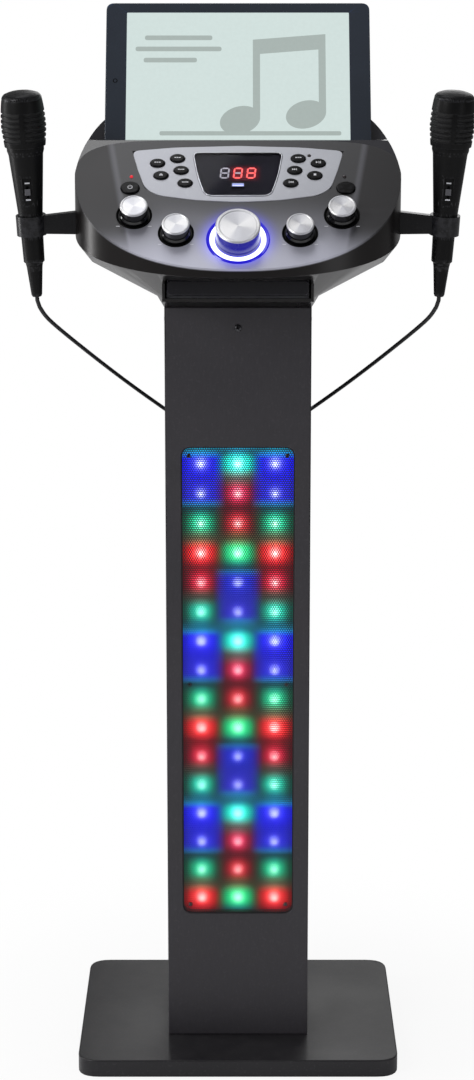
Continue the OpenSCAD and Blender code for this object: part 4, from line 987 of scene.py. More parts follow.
def geometry_tree(name: str, ins: dict[str, object], write: Callable[[Sketch, Node], Socket]) -> Tree:
    """Makes a geometry tree once, ending in Realize Instances and Set Material.

    Args:
        name: Name of the tree.
        ins: Sizes by name, with whole numbers as ints.
        write: Writes the inside and returns the geometry.

    Returns:
        The tree.
    """
    if name in bpy.data.node_groups:
        return bpy.data.node_groups[name]
    tree = bpy.data.node_groups.new(name, "GeometryNodeTree")
    tree.interface.new_socket("Geometry", in_out="INPUT", socket_type="NodeSocketGeometry")
    for key, value in ins.items():
        kind = "NodeSocketInt" if isinstance(value, int) else "NodeSocketFloat"
        tree.interface.new_socket(key, in_out="INPUT", socket_type=kind).default_value = value
    tree.interface.new_socket("Material", in_out="INPUT", socket_type="NodeSocketMaterial")
    tree.interface.new_socket("Geometry", in_out="OUTPUT", socket_type="NodeSocketGeometry")
    pen = Sketch(tree)
    given = pen.put("NodeGroupInput")
    whole = pen.put("GeometryNodeRealizeInstances", {0: write(pen, given)})
    joined = pen.put("GeometryNodeMergeByDistance", {"Geometry": whole.outputs[0], "Distance": 0.002})
    dressed = pen.put("GeometryNodeSetMaterial", {"Geometry": joined.outputs[0],
                                                  "Material": given.outputs["Material"]})
    pen.put("NodeGroupOutput", {0: dressed.outputs[0]})
    return tree


def grown(tree: Tree, sizes: dict[str, object], spots: Sequence[Point] = ((0, 0, 0),)) -> bpy.types.Mesh:
    """Runs a geometry tree on a few points.

    Args:
        tree: The tree.
        sizes: Values by input name.
        spots: Points that the tree starts from, in millimetres.

    Returns:
        The plain mesh, in millimetres.
    """
    seed = bpy.data.meshes.new("seed")
    seed.from_pydata([tuple(p) for p in spots], [], [])
    holder = bpy.data.objects.new("seed", seed)
    bpy.context.scene.collection.objects.link(holder)
    grow = holder.modifiers.new("grow", "NODES")
    grow.node_group = tree
    for item in tree.interface.items_tree:
        if item.in_out == "INPUT" and item.name in sizes:
            grow[item.identifier] = sizes[item.name]
    result = bpy.data.meshes.new_from_object(holder.evaluated_get(bpy.context.evaluated_depsgraph_get()))
    bpy.data.objects.remove(holder)
    bpy.data.meshes.remove(seed)
    return result


def perforated_tree() -> Tree:
    """Tree for a sheet full of round holes in staggered rows, within a rounded window."""
    def write(pen: Sketch, given: Node) -> Socket:
        """Writes the nodes of the tree."""
        get = given.outputs
        pitch, hole = get["Pitch"], get["Hole radius"]
        rise = pen.times(pitch, math.sqrt(0.75))
        across = pen.sum("FLOOR", pen.sum("DIVIDE", get["Width"], pitch))
        up = pen.sum("FLOOR", pen.sum("DIVIDE", get["Height"], rise))
        grid = pen.put("GeometryNodeMeshGrid", {
            "Size X": pen.times(pen.less(across, 1), pitch), "Vertices X": across,
            "Size Y": pen.times(pen.less(up, 1), rise), "Vertices Y": up})
        index = pen.out("GeometryNodeInputIndex")
        odd = pen.sum("MODULO", pen.sum("MODULO", index, up), 2.0)
        step = pen.times(pen.less(odd, 0.5), pen.times(pitch, 0.5))
        offset = pen.out("ShaderNodeCombineXYZ", {0: step})
        placed = pen.out("GeometryNodeSetPosition", {"Geometry": grid.outputs[0], "Offset": offset})
        place = pen.out("GeometryNodeInputPosition")
        at = pen.put("ShaderNodeSeparateXYZ", {0: place})

        def over(axis: int, size: Socket) -> Socket:
            """How far a point lies past the start of the corner rounding."""
            room = pen.less(pen.times(size, 0.5), get["Corner"])
            return pen.sum("MAXIMUM", pen.less(pen.sum("ABSOLUTE", at.outputs[axis]), room), 0.0)

        far = pen.length(over(0, get["Width"]), over(1, get["Height"]))
        outside = pen.out("FunctionNodeCompare", {0: far, 1: get["Corner"]},
                          operation="GREATER_THAN")
        kept = pen.out("GeometryNodeDeleteGeometry", {0: placed, 1: outside})
        ring = pen.out("GeometryNodeMeshCircle", {"Vertices": 6, "Radius": hole})
        tip = pen.out("GeometryNodeTransform", {"Geometry": ring, "Rotation": (0, 0, math.pi / 6)})
        flat = pen.put("GeometryNodeExtrudeMesh", {"Mesh": tip, "Offset Scale": 0.0}, mode="EDGES")
        out = pen.sum("DIVIDE", pen.sum("DIVIDE", pitch, math.sqrt(3)), hole)
        wide = pen.out("ShaderNodeVectorMath", {0: place, 3: out}, operation="SCALE")
        flat = pen.out("GeometryNodeSetPosition", {
            "Geometry": flat.outputs[0], "Selection": flat.outputs["Top"], "Position": wide})
        down = pen.out("ShaderNodeCombineXYZ", {2: pen.times(get["Thickness"], -1.0)})
        wall = pen.out("GeometryNodeExtrudeMesh", {"Mesh": tip, "Offset": down}, mode="EDGES")
        join = pen.put("GeometryNodeJoinGeometry")
        for part in (flat, wall):
            pen.tree.links.new(part, join.inputs[0])
        return pen.out("GeometryNodeInstanceOnPoints", {"Points": kept, "Instance": join.outputs[0]})
    return geometry_tree("perforated_sheet", {"Width": 100.0, "Height": 200.0, "Corner": 10.0, "Pitch": 2.4,
                                              "Hole radius": 0.85, "Thickness": 0.6}, write)


def screw_tree() -> Tree:
    """Tree for domed screw heads on points, each with a cross let in."""
    def write(pen: Sketch, given: Node) -> Socket:
        """Writes the nodes of the tree."""
        get = given.outputs
        join = pen.put("GeometryNodeJoinGeometry")
        for wide, up in ((1.0, 0.0), (0.98, 0.35), (0.86, 0.7), (0.6, 0.95), (0.34, 1.0)):
            radius = pen.times(get["Radius"], wide)
            circle = pen.out("GeometryNodeMeshCircle", {"Vertices": 20, "Radius": radius},
                             fill_type="NGON")
            lift = pen.out("ShaderNodeCombineXYZ", {2: pen.times(get["Height"], up)})
            ring = pen.out("GeometryNodeTransform", {"Geometry": circle, "Translation": lift})
            pen.tree.links.new(ring, join.inputs[0])
        body = pen.out("GeometryNodeConvexHull", {0: join.outputs[0]})
        cross = pen.put("GeometryNodeJoinGeometry")
        for turned in (0.4, 0.4 + math.pi / 2):
            size = pen.out("ShaderNodeCombineXYZ", {0: pen.times(get["Radius"], 1.05),
                                                    1: pen.times(get["Radius"], 0.2),
                                                    2: pen.times(get["Height"], 1.4)})
            bar = pen.out("GeometryNodeMeshCube", {"Size": size})
            lift = pen.out("ShaderNodeCombineXYZ", {2: pen.times(get["Height"], 1.15)})
            arm = pen.out("GeometryNodeTransform", {
                "Geometry": bar, "Rotation": (0, 0, turned), "Translation": lift})
            pen.tree.links.new(arm, cross.inputs[0])
        cut = pen.out("GeometryNodeMeshBoolean", {0: body, 1: cross.outputs[0]},
                      operation="DIFFERENCE")
        return pen.out("GeometryNodeInstanceOnPoints", {"Points": get["Geometry"], "Instance": cut})
    return geometry_tree("screw_heads", {"Radius": 3.0, "Height": 1.4}, write)


def mark_tree() -> Tree:
    """Tree for small bars on points."""
    def write(pen: Sketch, given: Node) -> Socket:
        """Writes the nodes of the tree."""
        get = given.outputs
        sides = {0: get["Length"], 1: get["Width"], 2: get["Height"]}
        bar = pen.out("GeometryNodeMeshCube", {"Size": pen.out("ShaderNodeCombineXYZ", sides)})
        return pen.out("GeometryNodeInstanceOnPoints", {"Points": get["Geometry"], "Instance": bar})
    return geometry_tree("bars", {"Length": 3.0, "Width": 0.7, "Height": 0.3}, write)


# Sub-assemblies

@dataclass
class Base:
    """Heavy base plate."""

    width: float = 322.0
    depth: float = 266.0
    thick: float = 18.0
    corner: float = 22.0

    def build(self) -> None:
        """Makes the plate with softened edges."""
        outline = oblong(self.width, self.depth, self.corner)
        piece = Workpiece("base_slab").slab(outline, 0, self.thick, rim=1.6, foot=1.0)
        piece.done("stand", Finishes.base, "base_board", ["base_plate"])


@dataclass
class Column:
    """Speaker column: front board with the window, shell and screws."""

    width: float = 142.0
    depth: float = 138.0
    low: float = 18.0
    board: float = 12.0
    screw_drop: float = 20.0

    def build(self) -> None:
        """Makes the boards and screws."""
        mid = (self.low + COLUMN_TOP) / 2
        place = shift(0, COLUMN_FRONT + self.board, mid) @ FACING_FRONT
        front = Workpiece("front_board").slab(
            oblong(self.width, COLUMN_TOP - self.low, 0.6), 0, self.board, place, rim=1.1,
            holes=[oblong(*LIGHT_WINDOW, 10, y=LIGHT_WINDOW_MID - mid)])
        front.done("stand", Finishes.laminate, "column_board", ["column_front"])
        Workpiece("column_box").copy_node("column_shell", 0.9).done(
            "stand", Finishes.laminate, "column_board", ["column_shell"])
        self.screws()

    def screws(self) -> None:
        """Makes the screws in the front board and in both sides."""
        heads = grown(screw_tree(), {"Radius": 3.6, "Height": 1.7, "Material": Finishes.zinc.material()})
        up, back = COLUMN_TOP - self.screw_drop, COLUMN_FRONT + 0.43 * self.depth
        places = [shift(side * self.width / 2, back, up) @ turn(90 * side, "Y") for side in (-1, 1)]
        piece = Workpiece("column_screw_heads")
        for place in (shift(0, COLUMN_FRONT, up) @ FACING_FRONT, *places):
            piece.add_mesh(heads, place).lathe([(0, -9), (1.5, -9), (1.5, 0.4), (0, 0.4)], place, 16)
        piece.done("stand", Finishes.zinc, "dark_metal", ["column_screws"])


@dataclass
class LightWindow:
    """Lamps behind the perforated sheet of the column's front."""

    width: float = LIGHT_WINDOW[0]
    height: float = LIGHT_WINDOW[1]
    mid: float = LIGHT_WINDOW_MID
    pitch: float = 2.3
    gap: float = 1.6

    def build(self) -> None:
        """Makes the sheet, its rim and screws, and dresses what lies behind."""
        place = shift(0, COLUMN_FRONT + 2, self.mid) @ FACING_FRONT
        whole = grown(perforated_tree(), {
            "Width": self.width - self.gap, "Height": self.height - self.gap, "Corner": 9.0,
            "Pitch": self.pitch, "Hole radius": 0.86, "Thickness": 0.6,
            "Material": Finishes.sheet.material()})
        for name, keep_top in (("grille_sheet_upper", True), ("grille_sheet_lower", False)):
            piece = Workpiece(name).add_mesh(whole, place)
            cut = [f for f in piece.bm.faces if (f.calc_center_median().z > self.mid) != keep_top]
            bmesh.ops.delete(piece.bm, geom=cut, context="FACES")
            piece.done("stand", Finishes.sheet, "mesh_metal", ["grille_mesh"])
        rim = Workpiece("grille_rim").slab(oblong(self.width, self.height, 10), -1, 0.1, place, rim=0.1,
                                           holes=[oblong(self.width - 2.4, self.height - 2.4, 8.8)])
        rim.done("stand", Finishes.sheet, "mesh_metal", ["grille_mesh"])
        spots = [(x, z, 0) for x in (-48, 48) for z in (-232, 0, 232)]
        zinc = Finishes.zinc
        heads = grown(screw_tree(), {"Radius": 2.2, "Height": 1.1, "Material": zinc.material()}, spots)
        Workpiece("grille_screws").add_mesh(heads, place).done("stand", zinc, "dark_metal")
        dress_node("lamp_board", Finishes.board)
        dress_node("lamp_lenses", Finishes.lens)
        dress_node("speaker_baffle", Finishes.fibre)
        dress_node("speaker", Finishes.cone)


@dataclass
class HeadShells:
    """Plastic shells of the head."""

    def build(self) -> None:
        """Makes the lower, upper and rear shells and the backrest."""
        Workpiece("under_shell").copy_node("lower_shell", 0.5, sharp=40).done(
            "stand", Finishes.skirt, "skirt_plastic", ["lower_shell"])
        normal = Vector((0, -math.sin(math.radians(TILT)), math.cos(math.radians(TILT))))

        def outer_edge(edge: bmesh.types.BMEdge) -> bool:
            """Whether the edge runs round the outside of the control face."""
            mid = (edge.verts[0].co + edge.verts[1].co) / 2
            on_plane = any(f.normal.dot(normal) > 0.999 for f in edge.link_faces)
            return on_plane and not self.inside(mid)

        Workpiece("face_shell").copy_node("upper_shell", 2.2, outer_edge).done(
            "stand", Finishes.facia, "face_plastic", ["upper_shell"])
        Workpiece("back_shell").copy_node("rear_shell", 1.2, sharp=40).done(
            "stand", Finishes.rear, "rear_plastic", ["rear_shell"])
        Workpiece("arched_backrest").copy_node("backrest", 2.4, sharp=40).done(
            "stand", Finishes.rear, "rear_plastic", ["backrest"])

    @staticmethod
    def inside(p: Vector) -> bool:
        """Whether a point of the face lies among its openings rather than at its border."""
        y = p.y - COLUMN_FRONT
        across = 90 if y < 0 else 142
        power = 2.3 if y < 0 else 4.5
        return (abs(p.x) / 155) ** power + (abs(y) / across) ** power < 0.9 and y < 22


@dataclass
class Lead:
    """A microphone's lead: down behind the column, wound into a coil, and up to its plug."""

    side: int
    radius: float = 2.0
    coil_mid: Point = (35.0, 101.0, 20.3)
    coil_radius: float = 26.5
    coil_step: float = 4.7

    def coil(self) -> list[Vector]:
        """Points of the coil, which spirals in below and out above."""
        half, step, count = 2.25, self.coil_step, 108
        pts = []
        for i in range(count + 1):
            v = -half + 2 * half * i / count
            w = 0.125 + v * v * 2 if abs(v) < 0.25 else abs(v)
            r = self.coil_radius - step * (half - w)
            z = 0.0 if v < -0.25 else 1.0 if v > 0.25 else 0.5 - 0.5 * math.cos(math.tau * (v + 0.25))
            pts.append(Vector((r * math.cos(math.tau * v), r * math.sin(math.tau * v), z * step)))
        a, b = (pts[1] - pts[0]).normalized(), (pts[-1] - pts[-2]).normalized()
        return [pts[0] - 4.5 * a, pts[0] - 0.5 * a, *pts[1:-1], pts[-1] + 0.5 * b, pts[-1] + 4.5 * b]

    @staticmethod
    def smooth(points: Sequence[Point], spans: int = 5) -> list[Vector]:
        """Smooth curve through the points."""
        p = [Vector(q) for q in points]
        out = []
        for i in range(len(p) - 1):
            a, b, c, d = p[max(i - 1, 0)], p[i], p[i + 1], p[min(i + 2, len(p) - 1)]
            for k in range(spans):
                t = k / spans
                out.append(0.5 * (2 * b + (c - a) * t + (2 * a - 5 * b + 4 * c - d) * t * t
                                  + (3 * b - a - 3 * c + d) * t ** 3))
        return [*out, p[-1]]

    def route(self) -> list[Vector]:
        """Whole way of the lead from the microphone's foot to the plug."""
        coil, mid = self.coil(), Vector(self.coil_mid)
        down = -on_microphone(1).to_3x3().col[2]
        start, end = coil[0], coil[-1]
        into = [Vector((mid.x - start.x + dx, mid.y + start.y + dy, mid.z + dz))
                for dx, dy, dz in ((12, 0.2, 1.2), (5, 0, 0), (0, 0, 0))]
        turns = [Vector((mid.x - p.x, mid.y + p.y, mid.z + p.z)) for p in coil[1:-1]]
        out = [Vector((mid.x - end.x + dx, mid.y + end.y, mid.z + end.z)) for dx in (0, 5)]
        plug = Vector((JACK_OUT, 106, 864))
        run = [MICROPHONE_FOOT + 0.3 * down, MICROPHONE_FOOT + 4.3 * down]
        run += self.smooth([(190.6, -68, 769), (181, -58, 754), (151, -18, 720), (112, 36, 678),
                            (72, 74, 641), (42, 78, 620), (24, 77, 610)], 14)
        run += self.smooth([(12, 74, 604), (5.5, 73, 600), (3.4, 73, 595)], 3)
        run += self.smooth([(3.4, 73, 585), (5, 74, 570), (12, 75, 530), (28, 76, 440), (44, 76, 330),
                            (56, 76, 220), (63, 76, 120), (64, 76, 70), (63, 76, 44)])
        run += [Vector((61.5, 75.6, 34)), Vector((57.5, 75, 26)), *into, *turns, *out]
        run += self.smooth([(50, 128, 28), (55, 128, 36), (57, 128, 52), (57, 128, 100), (55, 128, 250),
                            (50, 128, 450), (45, 128, 620), (40, 128, 760), (37, 128, 830)])
        run += [Vector((36, 127, 848)), plug + Vector((0, 12, -6.5)), plug + Vector((0, 6.5, -0.6)),
                plug + Vector((0, 4, 0)), plug]
        return [Vector((self.side * p.x, p.y, p.z)) for p in run]

    def build(self) -> None:
        """Makes the cord, its plug and the tie round its coil."""
        name = "left" if self.side < 0 else "right"
        route = self.route()
        line = bpy.data.curves.new(f"{name}_cord", "CURVE")
        line.dimensions = "3D"
        line.bevel_depth = self.radius * MM
        line.bevel_resolution = 3
        line.use_fill_caps = True
        strand = line.splines.new("POLY")
        strand.points.add(len(route) - 1)
        for knot, p in zip(strand.points, route):
            knot.co = (*(p * MM), 1)
        line.materials.append(Finishes.rubber.material())
        cord = bpy.data.objects.new(f"{name}_cord", line)
        bpy.context.scene.collection.objects.link(cord)
        fix(cord, "stand", [f"{name}_lead", f"{name}_coil"])
        plug, tie = self.plug(name), self.tie(name)
        total = sum((b - a).length for a, b in zip(route, route[1:])) * MM
        log.info("%s cord is %.3f m", name, total)

    def plug(self, name: str) -> bpy.types.Object:
        """Makes the plug in its jack, with the ribbed strain relief behind it."""
        plug = Workpiece(f"{name}_plug")
        spot = ON_SOCKETS @ shift(self.side * JACK_OUT, 0, 0)
        plug.lathe([(0, -24), (1.6, -24), (3.1, -21), (3.1, -3), (2.6, -2.6), (2.6, -2.2), (3.1, -1.8),
                    (3.1, 0.2)], spot, 32, 1)
        barrel = [(3.1, 0.1), (5.9, 0.1), (6.2, 0.5), (6.2, 19.6), (5.6, 21.4), (5.0, 22)]
        for k in range(4):
            z = 22.6 + 2.8 * k
            r = 4.9 - 0.4 * k
            barrel += [(r, z), (r, z + 1.5), (r - 0.7, z + 1.9), (r - 0.7, z + 2.5)]
        barrel += [(3.4, 33.4), (3.2, 34), (0, 34)]
        plug.lathe(barrel, spot, 32)
        return plug.done("stand", [Finishes.rubber, Finishes.chrome], "lead_rubber", ["mic_plugs"])

    def tie(self, name: str) -> bpy.types.Object:
        """Makes the strap round the coil."""
        x, y, z = self.coil_mid
        middle = shift(self.side * x, y + self.coil_radius - self.coil_step, z + self.coil_step / 2)
        band = fillet([(-7.2, -4.2), (7.2, -4.2), (7.2, 4.5), (-7.2, 4.5)], 3.4, bits=5)
        hole = fillet([(-6.8, -3.9), (6.8, -3.9), (6.8, 4.2), (-6.8, 4.2)], 3.2, bits=5)
        tie = Workpiece(f"{name}_coil_tie")
        tie.slab(band, -4, 4, middle @ turn(90, "Z") @ turn(90, "X"), rim=0.1, holes=[hole])
        return tie.done("stand", Finishes.satin, "lead_rubber")


@dataclass
class Studio:
    """Camera, lights, floor and world."""

    def build(self) -> None:
        """Sets up everything that isn't part of the object."""
        scene = bpy.context.scene
        data = bpy.data.cameras.new("camera")
        data.lens, data.sensor_width, data.sensor_fit = 90.83, 36.0, "AUTO"
        data.shift_x = -0.0009
        camera = bpy.data.objects.new("camera", data)
        camera.location = (0, -2.669, 1.159)
        camera.rotation_euler = (math.radians(76.59), 0, 0)
        scene.collection.objects.link(camera)
        scene.camera = camera
        scene.view_settings.view_transform = "Standard"
        for name, spot, aim, size, power, tint in (
                ("key", (-1.9, -1.7, 1.9), (0, 0, 0.8), (0.9, 1.3), 26, (1, 0.99, 0.98)),
                ("fill", (1.9, -2.2, 1.0), (0, 0, 0.6), (0.9, 1.6), 5, (0.97, 0.98, 1)),
                ("top", (-0.3, 0.2, 2.7), (0, 0, 0.9), (1.2, 0.8), 8, (1, 1, 1)),
                ("back", (0.4, 2.3, 1.7), (0, 0, 0.7), (1.4, 1.4), 9, (1, 1, 1)),
                ("strip", (-1.6, 0.2, 0.9), (0, 0, 0.6), (0.25, 1.5), 10, (1, 1, 1))):
            lamp = bpy.data.lights.new(name, "AREA")
            lamp.shape, (lamp.size, lamp.size_y) = "RECTANGLE", size
            lamp.energy, lamp.color = power, tint
            made = bpy.data.objects.new(name, lamp)
            made.location = spot
            made.rotation_euler = (Vector(aim) - Vector(spot)).to_track_quat("-Z", "Y").to_euler()
            scene.collection.objects.link(made)
        self.floor()
        self.world()

    @staticmethod
    def floor() -> None:
        """Makes the pale floor."""
        mesh = bpy.data.meshes.new("floor")
        mesh.from_pydata([(-8, -8, 0), (8, -8, 0), (8, 8, 0), (-8, 8, 0)], [], [(0, 1, 2, 3)])
        made = bpy.data.objects.new("floor", mesh)
        bpy.context.scene.collection.objects.link(made)
        paint = bpy.data.materials.new("floor")
        paint.use_nodes = True
        paint.node_tree.nodes.clear()
        pen = Sketch(paint.node_tree)
        plain = pen.put("ShaderNodeBsdfDiffuse", {"Color": (0.86, 0.86, 0.87, 1)})
        white = pen.put("ShaderNodeEmission", {"Color": (1, 1, 1, 1), "Strength": 1.0})
        path = pen.put("ShaderNodeLightPath")
        at = pen.put("ShaderNodeSeparateXYZ", {0: pen.where()})
        share = pen.span(pen.length(*at.outputs[:2]), 0.14, 0.5, 0.9, 1.0)
        both = pen.put("ShaderNodeMixShader", {0: pen.times(path.outputs["Is Camera Ray"], share),
                                               1: plain.outputs[0], 2: white.outputs[0]})
        pen.put("ShaderNodeOutputMaterial", {0: both.outputs[0]})
        mesh.materials.append(paint)

    @staticmethod
    def world() -> None:
        """Makes the world white to the camera and soft on the object."""
        world = bpy.data.worlds.new("studio")
        bpy.context.scene.world = world
        world.use_nodes = True
        world.node_tree.nodes.clear()
        pen = Sketch(world.node_tree)
        path = pen.put("ShaderNodeLightPath")
        seen = pen.sum("MAXIMUM", path.outputs["Is Camera Ray"], path.outputs["Is Transmission Ray"])
        level = pen.sum("MULTIPLY_ADD", seen, 0.62, 0.38)
        level = pen.sum("MULTIPLY_ADD", path.outputs["Is Glossy Ray"], -0.24, level)
        paint = pen.put("ShaderNodeBackground", {"Color": (1, 1, 1, 1), "Strength": level})
        pen.put("ShaderNodeOutputWorld", {0: paint.outputs[0]})


@dataclass
class Display:
    """Silver button panel with its smoked window, digits and USB socket."""

    outline: tuple = ((-76, 90), (-88, 99), (-95, 122), (-101, 146), (-60, 150.5), (0, 152.5), (60, 150.5),
                      (101, 146), (95, 122), (88, 99), (76, 90), (40, 84), (0, 81.5), (-40, 84))
    corners: tuple = (30, 20, 60, 6, 200, 200, 200, 6, 60, 20, 30, 120, 200, 120)
    window: tuple = ((-42, 143), (42, 143), (37, 112), (31, 92.5), (26, 90), (-26, 90), (-31, 92.5),
                     (-37, 112))
    window_corners: tuple = (4.5, 4.5, 200, 9, 9, 9, 9, 200)
    holes: tuple = ((-76.5, 130), (-57.5, 136), (-73, 114.5), (-54, 121), (-50, 105),
                    (57.5, 136), (76.5, 130), (54, 121), (73, 114.5), (50, 105))

    def build(self) -> None:
        """Makes the panel and what it holds."""
        face = on_face(0, 0)
        glass = fillet(self.window, self.window_corners)
        if not anticlockwise(glass):
            glass.reverse()
        frame_line = drawn_in(glass, -1.3)
        cuts = [*(moved(oval(14.6, 10.6), *p) for p in self.holes), moved(oval(3.4, 3.4, 16), *REMOTE_EYE)]
        Workpiece("silver_panel").slab(fillet(self.outline, self.corners), -1.1, 0.5, face, rim=0.45,
                                       holes=[frame_line, *cuts]).done(
            "stand", Finishes.silver, "silver_panel", ["button_panel"])
        Workpiece("window_trim").slab(frame_line, -1.1, 0.95, face, rim=0.45, holes=[glass]).done(
            "stand", Finishes.chrome, "silver_panel", ["button_panel"])
        port = oblong(12, 4.6, 0.5, 0, 103)
        Workpiece("smoked_window").slab(glass, -1.1, 0.85, face, rim=0.4, holes=[port]).done(
            "stand", Finishes.smoke, "smoked_window", ["display_window"])
        tray = Workpiece("window_tray")
        tray.slab(drawn_in(glass, -1.0), -3.2, -2.05, face, holes=[port])
        tray.slab(oblong(40, 16, 1, 0, 119), -9, -3.2, face)
        tray.done("stand", Finishes.backing, "smoked_window", ["display_digits"])
        self.digits(face)
        socket = Workpiece("usb_shell").slab(port, -9, 0.9, face, rim=0.3,
                                             holes=[oblong(11, 3.6, 0.3, 0, 103)])
        socket.done("stand", Finishes.chrome, "socket_metal", ["usb_socket"])
        Workpiece("usb_tongue").slab(oblong(10.2, 1.3, 0.1, 0, 103.7), -7, -1.0, face).slab(
            oblong(11, 3.6, 0.3, 0, 103), -9, -6.9, face).done("stand", Finishes.tongue, "socket_metal")

    @staticmethod
    def digits(face: Matrix) -> None:
        """Makes three seven-segment digits, the first of them unlit; the unlit segments have a painted pale
        glow.
        """
        half, pitch, slant, mid = 0.75, 12.6, 0.1, LIT_DIGITS[1]

        def segment(length: float) -> list[Point]:
            """Outline of one segment."""
            a, b = length / 2, length / 2 - half
            return [(-a, 0), (-b, -half), (b, -half), (a, 0), (b, half), (-b, half)]

        segments = (("a", 0, 5.75, 0, 6.0), ("g", 0, 0, 0, 6.0), ("d", 0, -5.75, 0, 6.0),
                    ("f", -3.25, 2.88, 90, 5.3), ("b", 3.25, 2.88, 90, 5.3),
                    ("e", -3.25, -2.88, 90, 5.3), ("c", 3.25, -2.88, 90, 5.3))
        lit, dark = Workpiece("lit_segments"), Workpiece("unlit_segments")
        for place, shown in ((-1, ""), (0, "abcdef"), (1, "abcdefg")):
            for key, x, y, degrees, length in segments:
                bar = moved(segment(length), x * 1.12 + place * pitch, y * 1.04 + mid, degrees)
                line = [(p.x + (p.y - mid) * slant, p.y) for p in bar]
                (lit if key in shown else dark).slab(line, -2.0, -1.6, face)
        lit.done("stand", Finishes.segment, "digit_red", ["display_digits"])
        dark.done("stand", Finishes.unlit_segment_glow, "digit_red", ["display_digits"])


class Icon(Enum):
    """Small generic marks printed on the buttons, as outlines in millimetres."""

    PLAY = (((-2.4, -1.3), (-0.4, 0), (-2.4, 1.3)), ((0.2, -1.3), (0.9, -1.3), (0.9, 1.3), (0.2, 1.3)),
            ((1.6, -1.3), (2.3, -1.3), (2.3, 1.3), (1.6, 1.3)))
    STOP = (((-1.2, -1.2), (1.2, -1.2), (1.2, 1.2), (-1.2, 1.2)),)
    NEXT = (((-2.6, -1.2), (-0.8, 0), (-2.6, 1.2)), ((-0.7, -1.2), (1.1, 0), (-0.7, 1.2)),
            ((1.3, -1.2), (1.9, -1.2), (1.9, 1.2), (1.3, 1.2)))
    BACK = (((2.6, 1.2), (0.8, 0), (2.6, -1.2)), ((0.7, 1.2), (-1.1, 0), (0.7, -1.2)),
            ((-1.3, 1.2), (-1.9, 1.2), (-1.9, -1.2), (-1.3, -1.2)))
    MODE = (((-3, -0.5), (-1.2, -0.5), (-1.2, 0.5), (-3, 0.5)),
            ((-0.8, -0.5), (0.6, -0.5), (0.6, 0.5), (-0.8, 0.5)),
            ((1.0, -0.5), (3.0, -0.5), (3.0, 0.5), (1.0, 0.5)))
    EJECT = (((-1.8, -0.3), (1.8, -0.3), (0, 1.5)), ((-1.8, -1.3), (1.8, -1.3), (1.8, -0.7), (-1.8, -0.7)))
    NONE = ()


@dataclass
class PushButton:
    """One button with its cap, flange, stem and printed mark."""

    name: str
    spot: tuple[float, float]
    icon: Icon
    size: tuple[float, float] = (14.0, 10.0)
    under: float = 1.1
    top: float = 2.3
    power: bool = False

    def build(self) -> None:
        """Makes the button."""
        place = on_face(*self.spot)
        long, wide = self.size
        cap = Workpiece(f"{self.name}_cap")
        cap.slab(oval(long, wide), -self.under - 0.3, self.top, place, rim=0.9)
        cap.slab(oval(long + 2.4, wide + 2.4), -self.under - 1.5, -self.under - 0.3, place)
        cap.lathe([(0, -4.2), (2, -4.2), (2, -self.under - 1.4)], place, 20)
        cap.done(self.name, Finishes.gloss, "button_black", [self.name])
        if not self.power and self.icon is Icon.NONE:
            return
        mark = Workpiece(f"{self.name}_mark")
        printed, ink_height = on_face(*self.spot, self.top - 0.01), 0.06
        if self.power:
            ring = [(1.75, 0), (2.35, 0), (2.35, ink_height), (1.75, ink_height), (1.75, 0)]
            mark.lathe(ring, printed @ turn(122, "Z"), 30, sweep=296)
            mark.slab([(-0.3, 0.6), (0.3, 0.6), (0.3, 2.7), (-0.3, 2.7)], 0, ink_height, printed)
        for line in self.icon.value:
            mark.slab(line, 0, ink_height, printed)
        mark.done(self.name, Finishes.print_grey, "button_black")


@dataclass
class Knob:
    """One knob: dark side and spun cap; the lit one's side has a painted blue glow of the ring's light."""

    name: str
    spot: tuple[float, float]
    radius: float = 13.0
    height: float = 14.4
    lit: bool = False

    def build(self) -> None:
        """Makes the knob."""
        place = on_face(*self.spot)
        r, h = self.radius, self.height
        flare = 0.0 if self.lit else 0.7
        side = Workpiece(f"{self.name}_side")
        line = [(0, -5.6), (3, -5.6), (3, 0.4), (r + flare, 0.4), (r + flare, 2.2), (r - 0.5, 4.0),
                (r - 0.5, h - 1.8), (0, h - 1.8)]
        side.lathe(fillet(line, 0.4, closed=False, bits=3), place, 96)
        # The main knob's side takes a painted blue glow of the ring's light.
        finish = Finishes.painted_glow_side if self.lit else Finishes.knob_side
        side.done(self.name, finish, "knob_silver", [self.name])
        cap = Workpiece(f"{self.name}_cap")
        line = [(0, h - 1.9), (r - 0.3, h - 1.9), (r, h - 1.7), (r, h - 1.0), (r - 1.1, h), (r * 0.86, h),
                (r * 0.82, h - 0.45), (0, h - 0.6)]
        cap.lathe(fillet(line, 0.25, closed=False, bits=3), place, 128)
        cap.done(self.name, Finishes.spun, "knob_silver", [self.name], sharp=20)


